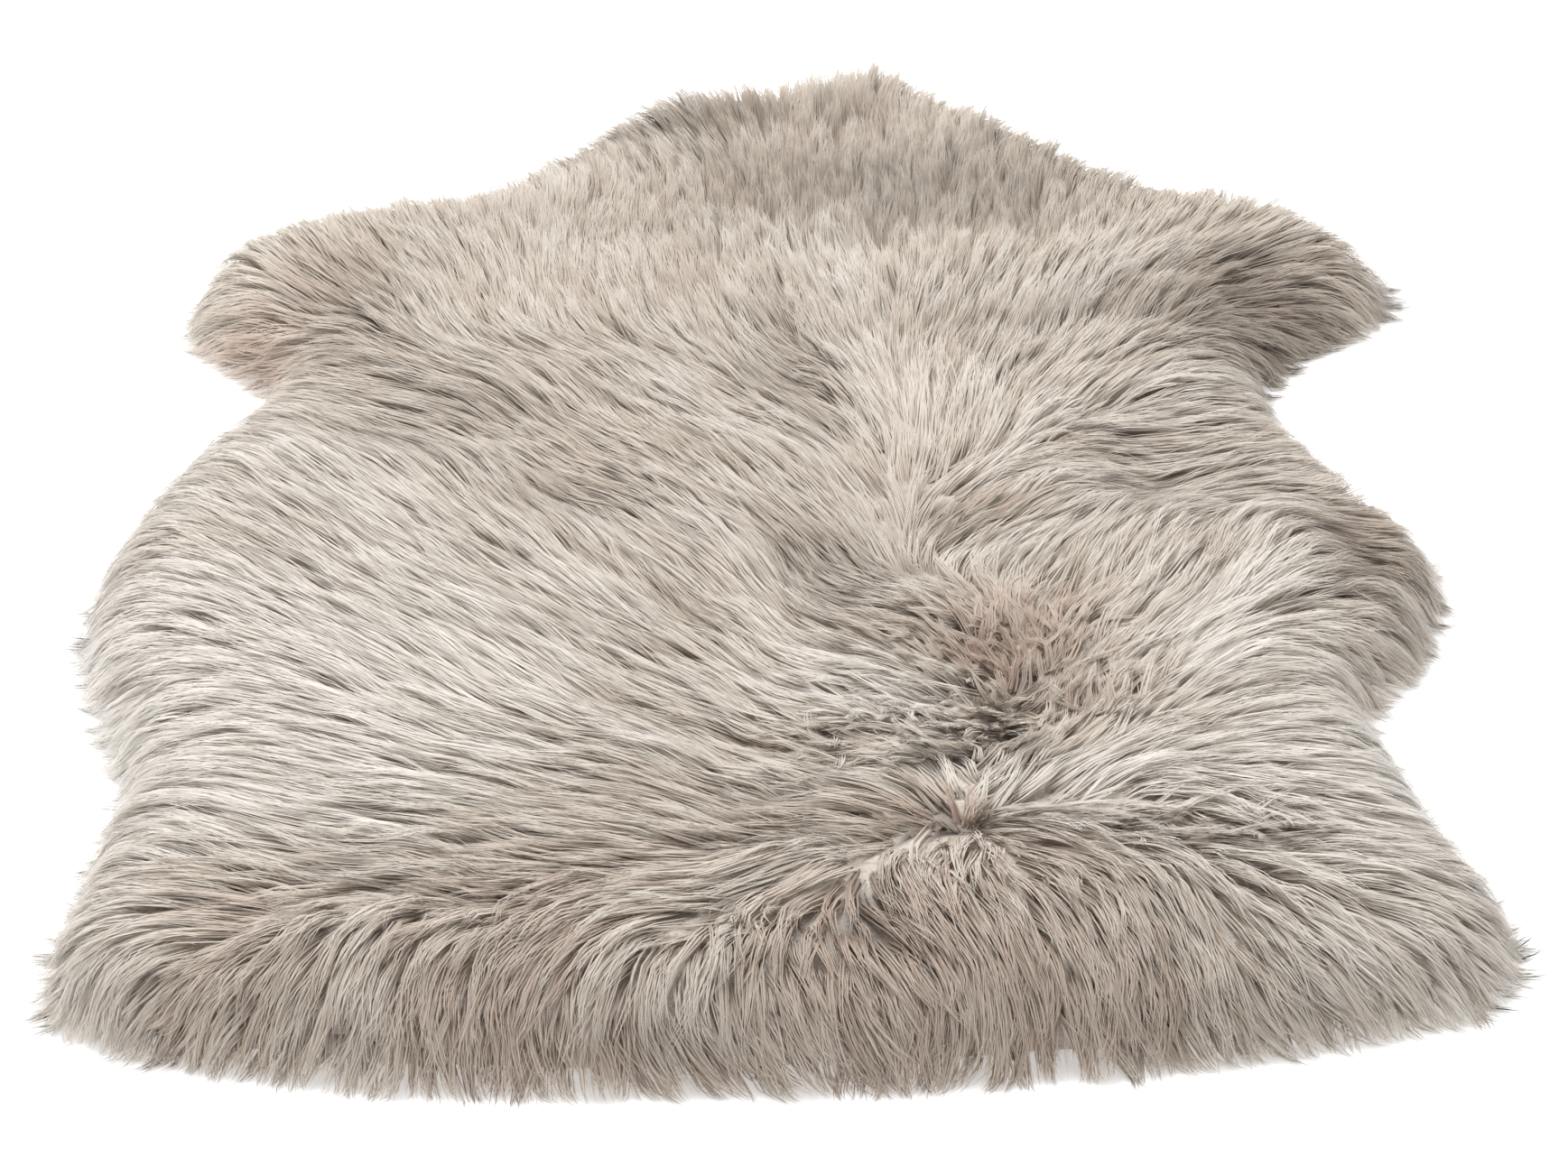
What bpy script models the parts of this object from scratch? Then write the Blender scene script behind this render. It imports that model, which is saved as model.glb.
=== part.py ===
"""Sheepskin rug: one whole tanned skin with its wool on, lying flat, wool side up.

The solid is the room that the skin and its standing wool take up: a flat underside, a rim
where the outermost wool meets the floor, a rounded bank all round, and an uneven top.
+Y runs from the rump to the neck, +X to the right, +Z up. The origin is under the middle.
"""

import math

import bmesh
import bpy
from mathutils import Vector, noise

# Driving dimensions, in metres
LENGTH = 1.00  # neck to rump, over the wool
WIDTH = 0.67  # belly, side to side, over the wool
PILE = 0.052  # height of the wool in the middle of the back
BANK = 0.075  # how far in from the rim the wool reaches its full height
RIM_HEIGHT = 0.010  # height at which the wool stands out furthest
RIM_TUCK = 0.008  # how far the underside lies inside the rim
TUFT_REACH = 0.004  # how far single tufts stand out from the edge, or fall short of it
TUFT_SPACING = 0.035
MIDDLE = Vector((0.0, 0.05))  # where the rings of faces close in, in plain view of the whole rim
RIPPLE = 0.003  # unevenness of the wool's top
RIPPLE_SPACING = 0.060

# How finely the solid is cut into faces
RIM_POINTS = 150
CURVE_STEPS = 12  # points on the smooth edge between two landmarks
BANK_RINGS = (0.012, 0.032, 0.060, 0.095, 0.140, 0.195)  # share of the way in to the middle
BACK_RINGS = (0.26, 0.34, 0.43, 0.53, 0.64, 0.76, 0.88)
SHARP_DEGREES = 50.0  # an edge with a tighter turn than this stays sharp

# The edge of the wool, clockwise from the neck: landmark, x, y
EDGE = (
    ("neck, tip", 0.056, 0.500),
    ("neck, right cheek", 0.108, 0.466),
    ("neck, right side", 0.158, 0.404),
    ("right shoulder", 0.212, 0.366),
    ("right foreleg, front", 0.280, 0.340),
    ("right foreleg, corner", 0.322, 0.296),
    ("right foreleg, foot", 0.336, 0.258),
    ("right foreleg, back", 0.298, 0.212),
    ("right waist", 0.254, 0.138),
    ("right flank", 0.288, 0.030),
    ("right belly, front", 0.328, -0.040),
    ("right belly, back", 0.314, -0.122),
    ("right groin", 0.280, -0.208),
    ("right thigh", 0.312, -0.325),
    ("right hind leg, foot", 0.330, -0.400),
    ("right hind leg, corner", 0.302, -0.442),
    ("rump, right", 0.180, -0.478),
    ("rump, middle", -0.020, -0.500),
    ("rump, left", -0.190, -0.494),
    ("left hind leg, corner", -0.306, -0.464),
    ("left hind leg, foot", -0.336, -0.425),
    ("left thigh", -0.324, -0.340),
    ("left groin", -0.316, -0.262),
    ("left belly, back", -0.338, -0.178),
    ("left belly, front", -0.348, -0.080),
    ("left flank", -0.322, 0.030),
    ("left waist", -0.274, 0.138),
    ("left foreleg, back", -0.302, 0.172),
    ("left foreleg, foot", -0.330, 0.236),
    ("left foreleg, corner", -0.306, 0.298),
    ("left foreleg, front", -0.240, 0.334),
    ("left shoulder", -0.175, 0.360),
    ("neck, left side", -0.130, 0.412),
    ("neck, left cheek", -0.076, 0.470),
)

# Where the wool stands above or below its usual height: place, x, y, reach across, reach along, rise
MOUNDS = (
    ("ridge above the rump, right", 0.130, -0.398, 0.125, 0.030, 0.006),
    ("ridge above the rump, left", -0.110, -0.440, 0.120, 0.030, 0.004),
    ("tuft on the spine", 0.082, -0.345, 0.030, 0.025, 0.006),
    ("hollow behind the ridge", 0.185, -0.345, 0.055, 0.016, -0.007),
    ("hollow left of the tuft", -0.005, -0.414, 0.045, 0.014, -0.006),
    ("whorl on the spine", 0.108, -0.215, 0.036, 0.075, -0.013),
    ("small whorl", 0.072, -0.065, 0.030, 0.025, -0.006),
    ("left side of the back", -0.170, -0.190, 0.110, 0.130, 0.004),
    ("left shoulder hollow", -0.165, 0.045, 0.075, 0.030, -0.009),
    ("right flank hollow", 0.195, 0.010, 0.040, 0.050, -0.008),
    ("right belly hollow", 0.286, -0.055, 0.024, 0.040, -0.008),
    ("right foreleg hollow", 0.256, 0.215, 0.035, 0.050, -0.012),
    ("left foreleg hollow", -0.250, 0.190, 0.030, 0.035, -0.006),
    ("withers, left", -0.085, 0.250, 0.070, 0.028, 0.003),
    ("withers, right", 0.110, 0.226, 0.075, 0.028, 0.003),
    ("trough before the withers", 0.085, 0.282, 0.070, 0.026, -0.007),
    ("trough, left end", -0.060, 0.300, 0.060, 0.024, -0.004),
    ("neck roll", 0.030, 0.360, 0.090, 0.030, 0.005),
    ("neck, tip", 0.048, 0.465, 0.035, 0.030, 0.006),
)

WOOL_COLOUR = (0.58, 0.52, 0.46, 1.0)


def clear_scene():
    for obj in list(bpy.data.objects):
        bpy.data.objects.remove(obj)


def make_material(name, colour, roughness):
    material = bpy.data.materials.new(name)
    material.use_nodes = True
    shader = material.node_tree.nodes["Principled BSDF"]
    shader.inputs["Base Color"].default_value = colour
    shader.inputs["Roughness"].default_value = roughness
    shader.inputs["Metallic"].default_value = 0.0
    return material


def spline_point(before, start, end, after, t):
    """A point between start and end on the smooth curve that also heeds their neighbours."""
    bend = 2 * before - 5 * start + 4 * end - after
    twist = 3 * start - before - 3 * end + after
    return 0.5 * (2 * start + (end - before) * t + bend * t * t + twist * t**3)


def smooth_edge():
    """The closed curve through the landmarks, scaled to the rug's size and centred."""
    marks = [Vector((x, y)) for _, x, y in EDGE]
    curve = []
    for i, mark in enumerate(marks):
        before, end, after = marks[i - 1], marks[(i + 1) % len(marks)], marks[(i + 2) % len(marks)]
        for step in range(CURVE_STEPS):
            curve.append(spline_point(before, mark, end, after, step / CURVE_STEPS))
    low = Vector((min(p.x for p in curve), min(p.y for p in curve)))
    high = Vector((max(p.x for p in curve), max(p.y for p in curve)))
    middle, size = (low + high) / 2, high - low
    return [Vector(((p.x - middle.x) * WIDTH / size.x, (p.y - middle.y) * LENGTH / size.y)) for p in curve]


def even_points(curve, count):
    """The closed curve again, as count points an equal way apart."""
    lengths = [(curve[(i + 1) % len(curve)] - p).length for i, p in enumerate(curve)]
    step = sum(lengths) / count
    points, passed, i = [], 0.0, 0
    for n in range(count):
        while passed + lengths[i] < n * step:
            passed += lengths[i]
            i += 1
        points.append(curve[i].lerp(curve[(i + 1) % len(curve)], (n * step - passed) / lengths[i]))
    return points


def with_tufts(points):
    """The edge with its tufts: each point moved straight out or in, and never past the rug's size."""
    tufted = []
    for i, point in enumerate(points):
        along = points[(i + 1) % len(points)] - points[i - 1]
        outward = Vector((-along.y, along.x)).normalized()
        spot = Vector((point.x / TUFT_SPACING, point.y / TUFT_SPACING, 0.0))
        moved = point + outward * TUFT_REACH * noise.noise(spot)
        moved.x = max(-WIDTH / 2, min(WIDTH / 2, moved.x))
        moved.y = max(-LENGTH / 2, min(LENGTH / 2, moved.y))
        tufted.append(moved)
    return tufted


def edge_distance(point, rim):
    """How far a point lies from the rim, measured to its nearest stretch."""
    nearest = LENGTH
    for i, start in enumerate(rim):
        stretch = rim[(i + 1) % len(rim)] - start
        share = (point - start).dot(stretch) / stretch.length_squared
        share = max(0.0, min(1.0, share))
        nearest = min(nearest, (point - start - stretch * share).length)
    return nearest


def wool_height(point, rim):
    """Height of the wool's top over the floor."""
    height = PILE
    for _, x, y, across, along, rise in MOUNDS:
        height += rise * math.exp(-(((point.x - x) / across) ** 2) - ((point.y - y) / along) ** 2)
    spot = Vector((point.x / RIPPLE_SPACING, point.y / RIPPLE_SPACING, 1.0))
    height += RIPPLE * noise.noise(spot)
    way_in = min(1.0, edge_distance(point, rim) / BANK)
    rounding = math.sqrt(1.0 - (1.0 - way_in) ** 2)
    return RIM_HEIGHT + (height - RIM_HEIGHT) * rounding


def add_ring(bm, points):
    return [bm.verts.new(point) for point in points]


def join_rings(bm, outer, inner):
    for i in range(len(outer)):
        j = (i + 1) % len(outer)
        bm.faces.new((outer[i], outer[j], inner[j]))
        bm.faces.new((outer[i], inner[j], inner[i]))


def build_sheepskin():
    rim = with_tufts(even_points(smooth_edge(), RIM_POINTS))
    bm = bmesh.new()
    underside = []
    for point in rim:
        inward = (MIDDLE - point).normalized() * RIM_TUCK
        underside.append((point.x + inward.x, point.y + inward.y, 0.0))
    floor_ring = add_ring(bm, underside)
    outer = add_ring(bm, [(p.x, p.y, RIM_HEIGHT) for p in rim])
    join_rings(bm, floor_ring, outer)
    for share in BANK_RINGS + BACK_RINGS:
        ring = [p.lerp(MIDDLE, share) for p in rim]
        inner = add_ring(bm, [(p.x, p.y, wool_height(p, rim)) for p in ring])
        join_rings(bm, outer, inner)
        outer = inner
    top = bm.verts.new((MIDDLE.x, MIDDLE.y, wool_height(MIDDLE, rim)))
    for i in range(RIM_POINTS):
        bm.faces.new((outer[i], outer[(i + 1) % RIM_POINTS], top))
    bm.faces.new(floor_ring)
    bmesh.ops.recalc_face_normals(bm, faces=bm.faces)
    mesh = bpy.data.meshes.new("sheepskin")
    bm.to_mesh(mesh)
    bm.free()
    mesh.shade_smooth()
    mesh.set_sharp_from_angle(angle=math.radians(SHARP_DEGREES))
    rug = bpy.data.objects.new("sheepskin", mesh)
    bpy.context.scene.collection.objects.link(rug)
    mesh.materials.append(make_material("wool", WOOL_COLOUR, 0.9))
    return rug


clear_scene()
build_sheepskin()
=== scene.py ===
"""Sheepskin rug: the hide, the undercoat and the long combed wool, and the stage they lie on.

The wool is grown lock by lock. Each lock starts under the wool's outer surface, follows the way
the wool is combed there, and ends in a point just above that surface. Its fibres are narrow
tapering ribbons that draw together towards the lock's tip.
"""

import math

import bpy
import numpy as np
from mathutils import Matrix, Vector
from mathutils.bvhtree import BVHTree


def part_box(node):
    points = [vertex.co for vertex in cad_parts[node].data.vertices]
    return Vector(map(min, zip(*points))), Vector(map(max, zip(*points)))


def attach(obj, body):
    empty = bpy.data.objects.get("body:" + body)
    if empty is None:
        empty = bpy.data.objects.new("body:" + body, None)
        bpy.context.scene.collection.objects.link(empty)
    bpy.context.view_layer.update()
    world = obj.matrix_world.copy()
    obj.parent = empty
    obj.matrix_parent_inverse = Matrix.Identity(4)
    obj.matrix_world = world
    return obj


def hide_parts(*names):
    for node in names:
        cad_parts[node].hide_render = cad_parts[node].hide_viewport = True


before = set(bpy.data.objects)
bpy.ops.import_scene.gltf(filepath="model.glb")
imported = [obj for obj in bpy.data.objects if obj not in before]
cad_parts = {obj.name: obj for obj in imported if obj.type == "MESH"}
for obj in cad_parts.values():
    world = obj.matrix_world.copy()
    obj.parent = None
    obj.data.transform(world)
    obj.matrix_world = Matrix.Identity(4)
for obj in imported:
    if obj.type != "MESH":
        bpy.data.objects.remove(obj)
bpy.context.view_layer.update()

bl_info = {
    "name": "Sheepskin Rug",
    "version": (1, 0, 0),
    "blender": (4, 5, 0),
    "location": "View3D > Sidebar > Sheepskin",
    "description": "Lays out a whole sheepskin with long combed wool",
    "category": "Object",
}

NODE = "sheepskin"
BODY = "root"
WOOL_MAP = "OFBake"  # across: shade of the fibre, up: from its root to its tip, with painted shade at its root and tip
DEEP_SHADE_NAME = "depth"  # how far the undercoat is painted into shade, from 0 to 1
MAP_EDGE = 0.01  # how far the fibres stay clear of the map's edge
SEED = 41

# The wool's outer surface, read from the solid
GRID_STEP = 0.004
GRID_MARGIN = 0.040
LAST_CELL = 1.001  # a field is read no nearer to its far side than this many steps
SMOOTHING_PASSES = 7
NOISE_STEPS = 6  # grid steps from one bump of an uneven field to the next
NOISE_PASSES = 8
RIM_TUCK = 0.008  # the solid's underside lies this far inside its rim
MIDDLE = np.array([0.0, 0.05])  # every stretch of the rim is in plain view from here
ON_FLOOR = 1e-5  # a corner of the solid lower than this belongs to its underside
SAME_DIGITS = 5  # corners that agree to so many digits are one
FALL_OUTSIDE = 1.6  # how steeply the outer surface drops past the rim
FRINGE_REACH = 0.015  # the locks grow closer together this near the rim
EDGE_COMBING = 0.050  # wool this near the rim is combed outwards
ROOTS_INSET = 0.002  # no lock starts nearer to the rim than this
FLOOR_GAP = 0.0008
LEAST_LENGTH = 1e-9  # a shorter vector has no direction

# The wisps on it: rounded, with sharp furrows between them
RELIEF_STEP = 0.002
BROADER, SHORTER = 2, 0.6  # the broad wisps' width, and the fine ones' length
BROAD_SHARE, FINE_SHARE = 0.6, 0.4
WISP_TOP, WISP_MIDDLE = 1.6, 0.75
LEAST_RELIEF, RELIEF_IN_WISPS = 0.30, 1.20

# How the wool catches the light
RELIEF_SHADING = 0.5  # how much of the wisps' relief shows
FIBRE_SHADING = 0.6  # how much a fibre's own slant shows
RIM_LIGHT = 0.60  # how far wool at the rim catches it as if it lay flat

# How finely the sheets and the fibres are cut, the stops as shares of a fibre's length
HIDE_RINGS = 16
UNDERCOAT_RINGS = 60
PATH_STEPS = 12
LAST_PLACE = 0.9999  # a lock's line is read no further than this share of it
SEEN_STEP = 8  # the step of a lock's path that shows between its neighbours
STRAIGHT_STOPS = (0.0, 0.40, 0.73, 1.0)
CRIMPED_STOPS = (0.0, 0.30, 0.55, 0.78, 1.0)
UNDERCOAT_HEM = 0.003  # the undercoat comes down to the floor this near its edge
CRIMP_DARKNESS, WHORL_DARKNESS, RIM_DARKNESS = 0.20, 0.6, 0.7  # how far the undercoat is painted into shade there at least

# How the wool stands and lies
STANDING_LEAN = 0.30  # wool that leans less than this starts deepest
LEAN_RANGE = (0.05, 0.97)  # from upright to flat
LEAN_SPREAD = 0.10  # how differently two neighbouring locks lean
LEAN_SLACK = (0.6, 1.15)  # how far their lean may differ
EVEN_LEAN = 0.75  # how far wool between two ways of combing lies as flat as the wool on both sides of it
CRIMP_SHALLOWS = 0.88  # how far crimped wool starts as high up as lying wool
LEAST_CRIMP = 0.30  # crimped wool is where the crimp is stronger than this
WISPS_IN_CRIMP = 1.3  # how strongly crimped wool forms wisps
DENSEST = 2.6  # how much closer together the locks may grow on a steep bank
STANDING_DENSITY = 0.6  # how much closer together they grow where they stand
CRIMPED_DENSITY = 1.8  # and where they are crimped
FRINGE_DENSITY = 0.35  # and at the rim

# How the locks differ, bend and bunch, lengths in metres and angles in radians
SWING_SPACING = 0.050  # from one swing of the combing to the next
SWING = 0.25
CURL_SPACING = 0.022
CURL_SPREAD = 0.35  # how differently two neighbouring locks curl
CURL_START = 0.4  # the share of its length at which a curling lock heads the way it is combed
LENGTH_SPREAD = 0.16
LENGTH_SLACK = (0.6, 1.4)
STANDING_LENGTH, LYING_LENGTH = 0.90, 0.25  # a lock's length, and what is added to it as it lies down
RIM_LENGTH = 0.52  # the length of the rim's wool next to the rest, at the rump
LYING_BEND, STANDING_BEND = 1.9, 0.8  # how soon a lying lock comes up, and how much later a standing one
RISE_SPREAD = 0.0008  # how differently high two neighbouring locks stand
BLOCKS = 40  # the locks are matched to their bunches in so many groups, to spare memory
TONE_SPREAD = 0.05  # how differently two bunches are coloured
TONE_SPACING, TONE_DRIFT = 0.040, 0.07
TURNS, TURNS_SPREAD, TURNS_IN_CRIMP = 0.7, 0.5, 0.5  # how many times a lock winds on its way up
WINDING_UP = 0.6  # how far it winds up and down, next to sideways
DRAWING_PATH, LIFT_PATH, WINDING_PATH = 1.6, 2, 0.7  # how late along a lock each of them grows

# How the fibres of a lock differ
FLATNESS = 0.5  # a lock's height next to its width
SHORTEST, SHORTEST_AT_RIM = 0.30, 0.25  # how much of the length the shortest fibres miss
STRAYS, STRAYS_AT_RIM = 0.06, 0.22  # how many fibres stray from their lock
STRAY_WANDER, WANDER = 0.0055, 0.0010  # how far a fibre's tip ends from where its lock leads it
FLAT_WANDER = 0.6  # how far it ends up or down, next to sideways
STRAY_WIDTH = 0.6  # next to a fibre that keeps to its lock
CRIMPED_DRAWING, STRAY_DRAWING = 0.82, 0.1  # how closely they come to their lock's tip
DRAWING_IN_PATH = 1.2  # how late along a lock its fibres draw together
TAPER = 0.6  # how soon along its length a fibre narrows
THINNEST, WIDTH_SPREAD = 0.75, 0.5
HALF_SHADE = 0.006  # how far a fibre's shade differs from side to side

# The shade of the fibres, from 0, pale, to 1, brown, and how far up the painted shade at their roots reaches
USUAL_SHADE = 0.30
SHADE_RANGE = (0.02, 0.97)
STAIN_AND_SHADE_STRENGTH = 0.45
CRIMP_SHADE = 0.12
# Painted light and shade: paler on the tops of the wisps, browner in the furrows between them
FOLD_SHADE = 0.14
# Darker roots are painted shade between the fibres: stronger where the wool forms wisps, crimps or stands,
# in hollows and furrows, weaker on the wisps' tops
ROOT_REACH = 0.22
ROOT_IN_WISPS, ROOT_IN_CRIMP, ROOT_IN_STANDING, ROOT_ON_FOLDS = 0.85, 0.15, 0.8, 0.45
ROOT_IN_HOLLOWS = 2.5
LEAST_ROOT = 0.15
DARK_TIP = 0.45  # how much darker the tips are in a hollow, as painted shade
DEEPEST_HOLLOW = 1.4
FURROW_TIP = 0.15  # and in a furrow

# How strongly each trait shows: in plain wool, what wisps add, and what crimp adds
TRAITS = {
    "swing": (0.05, 0.08, 0.50),
    "curl": (0.2, 1.7, 1.0),
    "length": (1.0, 0.0, -0.45),
    "rise": (1.0, 0.0, 0.9),
    "bunch rise": (0.3, 1.0, 0.0),
    "bunch tone": (0.4, 1.0, 0.0),
    "bunching": (0.2, 0.8, 0.0),
    "loose bunching": (1.0, 0.0, -0.7),
    "winding": (0.25, 0.0, 0.8),
    "tip lift": (0.4, 1.2, 0.7),
    "radius": (1.0, 0.0, -0.25),
    "shorter fibres": (1.0, 0.0, -0.6),
    "shine": (1.0, 0.0, 1.5),
    "lock's tone": (0.04, 0.0, 0.08),
    "fibre's tone": (0.05, 0.0, 0.07),
}

# The way the wool is combed: place, x, y, heading in degrees (0 right, 90 neck), lean, wisps, reach
COMBING = (
    ("neck, tip", 0.052, 0.440, 98, 0.32, 0.90, 0.060),
    ("neck, left", -0.070, 0.400, 140, 0.42, 0.90, 0.050),
    ("neck, middle", 0.030, 0.360, 98, 0.30, 1.00, 0.060),
    ("neck, right", 0.120, 0.340, 78, 0.32, 1.00, 0.050),
    ("left shoulder", -0.160, 0.290, 100, 0.60, 0.60, 0.060),
    ("withers", 0.000, 0.265, 105, 0.45, 0.90, 0.060),
    ("withers, right", 0.110, 0.270, 86, 0.36, 1.00, 0.050),
    ("right shoulder", 0.210, 0.285, 52, 0.60, 0.50, 0.050),
    ("left foreleg, front", -0.250, 0.250, 132, 0.75, 0.45, 0.050),
    ("left foreleg, foot", -0.290, 0.200, 150, 0.85, 0.45, 0.040),
    ("left foreleg, back", -0.260, 0.140, 165, 0.85, 0.45, 0.040),
    ("right foreleg, front", 0.270, 0.250, 15, 0.80, 0.50, 0.045),
    ("right foreleg, foot", 0.290, 0.190, 0, 0.85, 0.50, 0.040),
    ("right foreleg, back", 0.255, 0.140, -20, 0.80, 0.50, 0.035),
    ("left of the withers", -0.180, 0.190, 120, 0.70, 0.50, 0.060),
    ("left of the neck", -0.100, 0.200, 92, 0.55, 0.65, 0.040),
    ("between the shoulders", 0.000, 0.170, 106, 0.60, 0.70, 0.060),
    ("right of the withers", 0.130, 0.180, 68, 0.60, 0.60, 0.050),
    ("right elbow", 0.200, 0.190, 48, 0.70, 0.50, 0.040),
    ("left waist", -0.200, 0.060, 170, 0.85, 0.32, 0.060),
    ("back, left front", -0.090, 0.050, 152, 0.82, 0.45, 0.060),
    ("spine, front", 0.000, 0.070, 140, 0.75, 0.65, 0.050),
    ("spine, right front", 0.090, 0.060, 86, 0.70, 0.65, 0.050),
    ("right waist", 0.190, 0.060, -10, 0.80, 0.38, 0.045),
    ("right waist, inside", 0.160, 0.100, 58, 0.70, 0.60, 0.030),
    ("right waist valley", 0.195, -0.005, -28, 0.85, 0.38, 0.040),
    ("left flank", -0.270, -0.050, 134, 0.85, 0.32, 0.060),
    ("left back", -0.170, -0.060, 136, 0.87, 0.32, 0.070),
    ("left of the spine", -0.060, -0.060, 138, 0.85, 0.45, 0.060),
    ("spine, middle", 0.005, -0.040, 132, 0.80, 0.60, 0.035),
    ("right of the spine", 0.130, -0.045, 30, 0.80, 0.60, 0.035),
    ("right back", 0.185, -0.095, 62, 0.72, 0.75, 0.030),
    ("right back, ridge", 0.225, -0.110, 66, 0.70, 0.80, 0.026),
    ("right back, low", 0.200, -0.160, 38, 0.82, 0.60, 0.035),
    ("right belly", 0.300, -0.065, -12, 0.85, 0.50, 0.030),
    ("right belly, ridge", 0.262, -0.135, 48, 0.75, 0.75, 0.026),
    ("right belly, back", 0.285, -0.165, 15, 0.87, 0.38, 0.030),
    ("right belly, low", 0.240, -0.210, 8, 0.87, 0.38, 0.035),
    ("left belly", -0.290, -0.160, 155, 0.88, 0.32, 0.060),
    ("left back, middle", -0.170, -0.180, 148, 0.88, 0.32, 0.070),
    ("left of the whorl", -0.050, -0.170, 132, 0.85, 0.45, 0.060),
    ("off the whorl, upper", 0.058, -0.165, 182, 0.80, 0.60, 0.028),
    ("off the whorl, middle", 0.055, -0.215, 180, 0.80, 0.60, 0.028),
    ("off the whorl, lower", 0.030, -0.245, 185, 0.80, 0.60, 0.026),
    ("right of the whorl", 0.170, -0.190, 32, 0.82, 0.38, 0.030),
    ("whorl, upper left", 0.086, -0.182, 152, 0.70, 0.80, 0.018),
    ("whorl, top", 0.108, -0.172, 100, 0.62, 0.80, 0.016),
    ("whorl, upper right", 0.136, -0.188, 52, 0.74, 0.75, 0.022),
    ("whorl, left", 0.080, -0.218, 180, 0.75, 0.75, 0.018),
    ("whorl, right", 0.146, -0.225, 42, 0.72, 0.80, 0.018),
    ("whorl, lower", 0.098, -0.252, 245, 0.72, 0.80, 0.018),
    ("whorl, lower left", 0.064, -0.255, 215, 0.74, 0.80, 0.020),
    ("whorl, lower right", 0.142, -0.242, 60, 0.60, 0.80, 0.018),
    ("before the tuft", 0.030, -0.278, 205, 0.76, 0.70, 0.022),
    ("left groin", -0.270, -0.265, 178, 0.88, 0.40, 0.050),
    ("left loin", -0.160, -0.280, 152, 0.88, 0.32, 0.060),
    ("loin", -0.060, -0.280, 144, 0.87, 0.45, 0.050),
    ("left of the tuft", 0.020, -0.325, 180, 0.80, 0.60, 0.026),
    ("right groin", 0.240, -0.270, -5, 0.87, 0.38, 0.050),
    ("right loin", 0.190, -0.265, 12, 0.84, 0.38, 0.035),
    ("right of the whorl, low", 0.150, -0.268, 28, 0.80, 0.38, 0.018),
    ("arch, rising", 0.118, -0.312, 60, 0.80, 0.38, 0.016),
    ("arch right of the tuft", 0.150, -0.298, 8, 0.84, 0.38, 0.022),
    ("arch, right end", 0.195, -0.298, -28, 0.84, 0.38, 0.026),
    ("behind the right ridge", 0.190, -0.328, -42, 0.75, 0.75, 0.018),
    ("right thigh", 0.270, -0.340, 20, 0.86, 0.38, 0.040),
    ("left thigh", -0.260, -0.350, 152, 0.88, 0.40, 0.050),
    ("left rump", -0.170, -0.370, 172, 0.87, 0.45, 0.045),
    ("rump, left of the spine", -0.070, -0.360, 184, 0.85, 0.50, 0.040),
    ("lying lock", 0.000, -0.388, 215, 0.90, 0.50, 0.020),
    ("left ridge", -0.070, -0.425, 222, 0.86, 0.50, 0.030),
    ("left hind leg", -0.270, -0.430, 182, 0.87, 0.45, 0.040),
    ("right hind leg", 0.285, -0.400, -15, 0.87, 0.38, 0.040),
    ("front of the tuft", 0.078, -0.376, 262, 0.88, 0.50, 0.018),
    ("right of the tuft", 0.125, -0.332, -15, 0.82, 0.60, 0.016),
    ("right of the tuft, low", 0.125, -0.356, -52, 0.88, 0.50, 0.020),
    ("under the right ridge", 0.165, -0.368, -62, 0.88, 0.50, 0.024),
    ("end of the right ridge", 0.240, -0.358, -40, 0.85, 0.38, 0.030),
    ("rump bank, left", -0.180, -0.460, 222, 0.87, 0.45, 0.035),
    ("rump bank, middle left", -0.090, -0.465, 238, 0.87, 0.45, 0.035),
    ("rump bank, middle", -0.005, -0.460, 252, 0.87, 0.45, 0.030),
    ("rump bank, middle right", 0.080, -0.435, 278, 0.87, 0.45, 0.030),
    ("rump bank, right", 0.160, -0.450, 286, 0.87, 0.45, 0.030),
    ("rump bank, far right", 0.230, -0.445, 302, 0.87, 0.45, 0.030),
)

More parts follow.
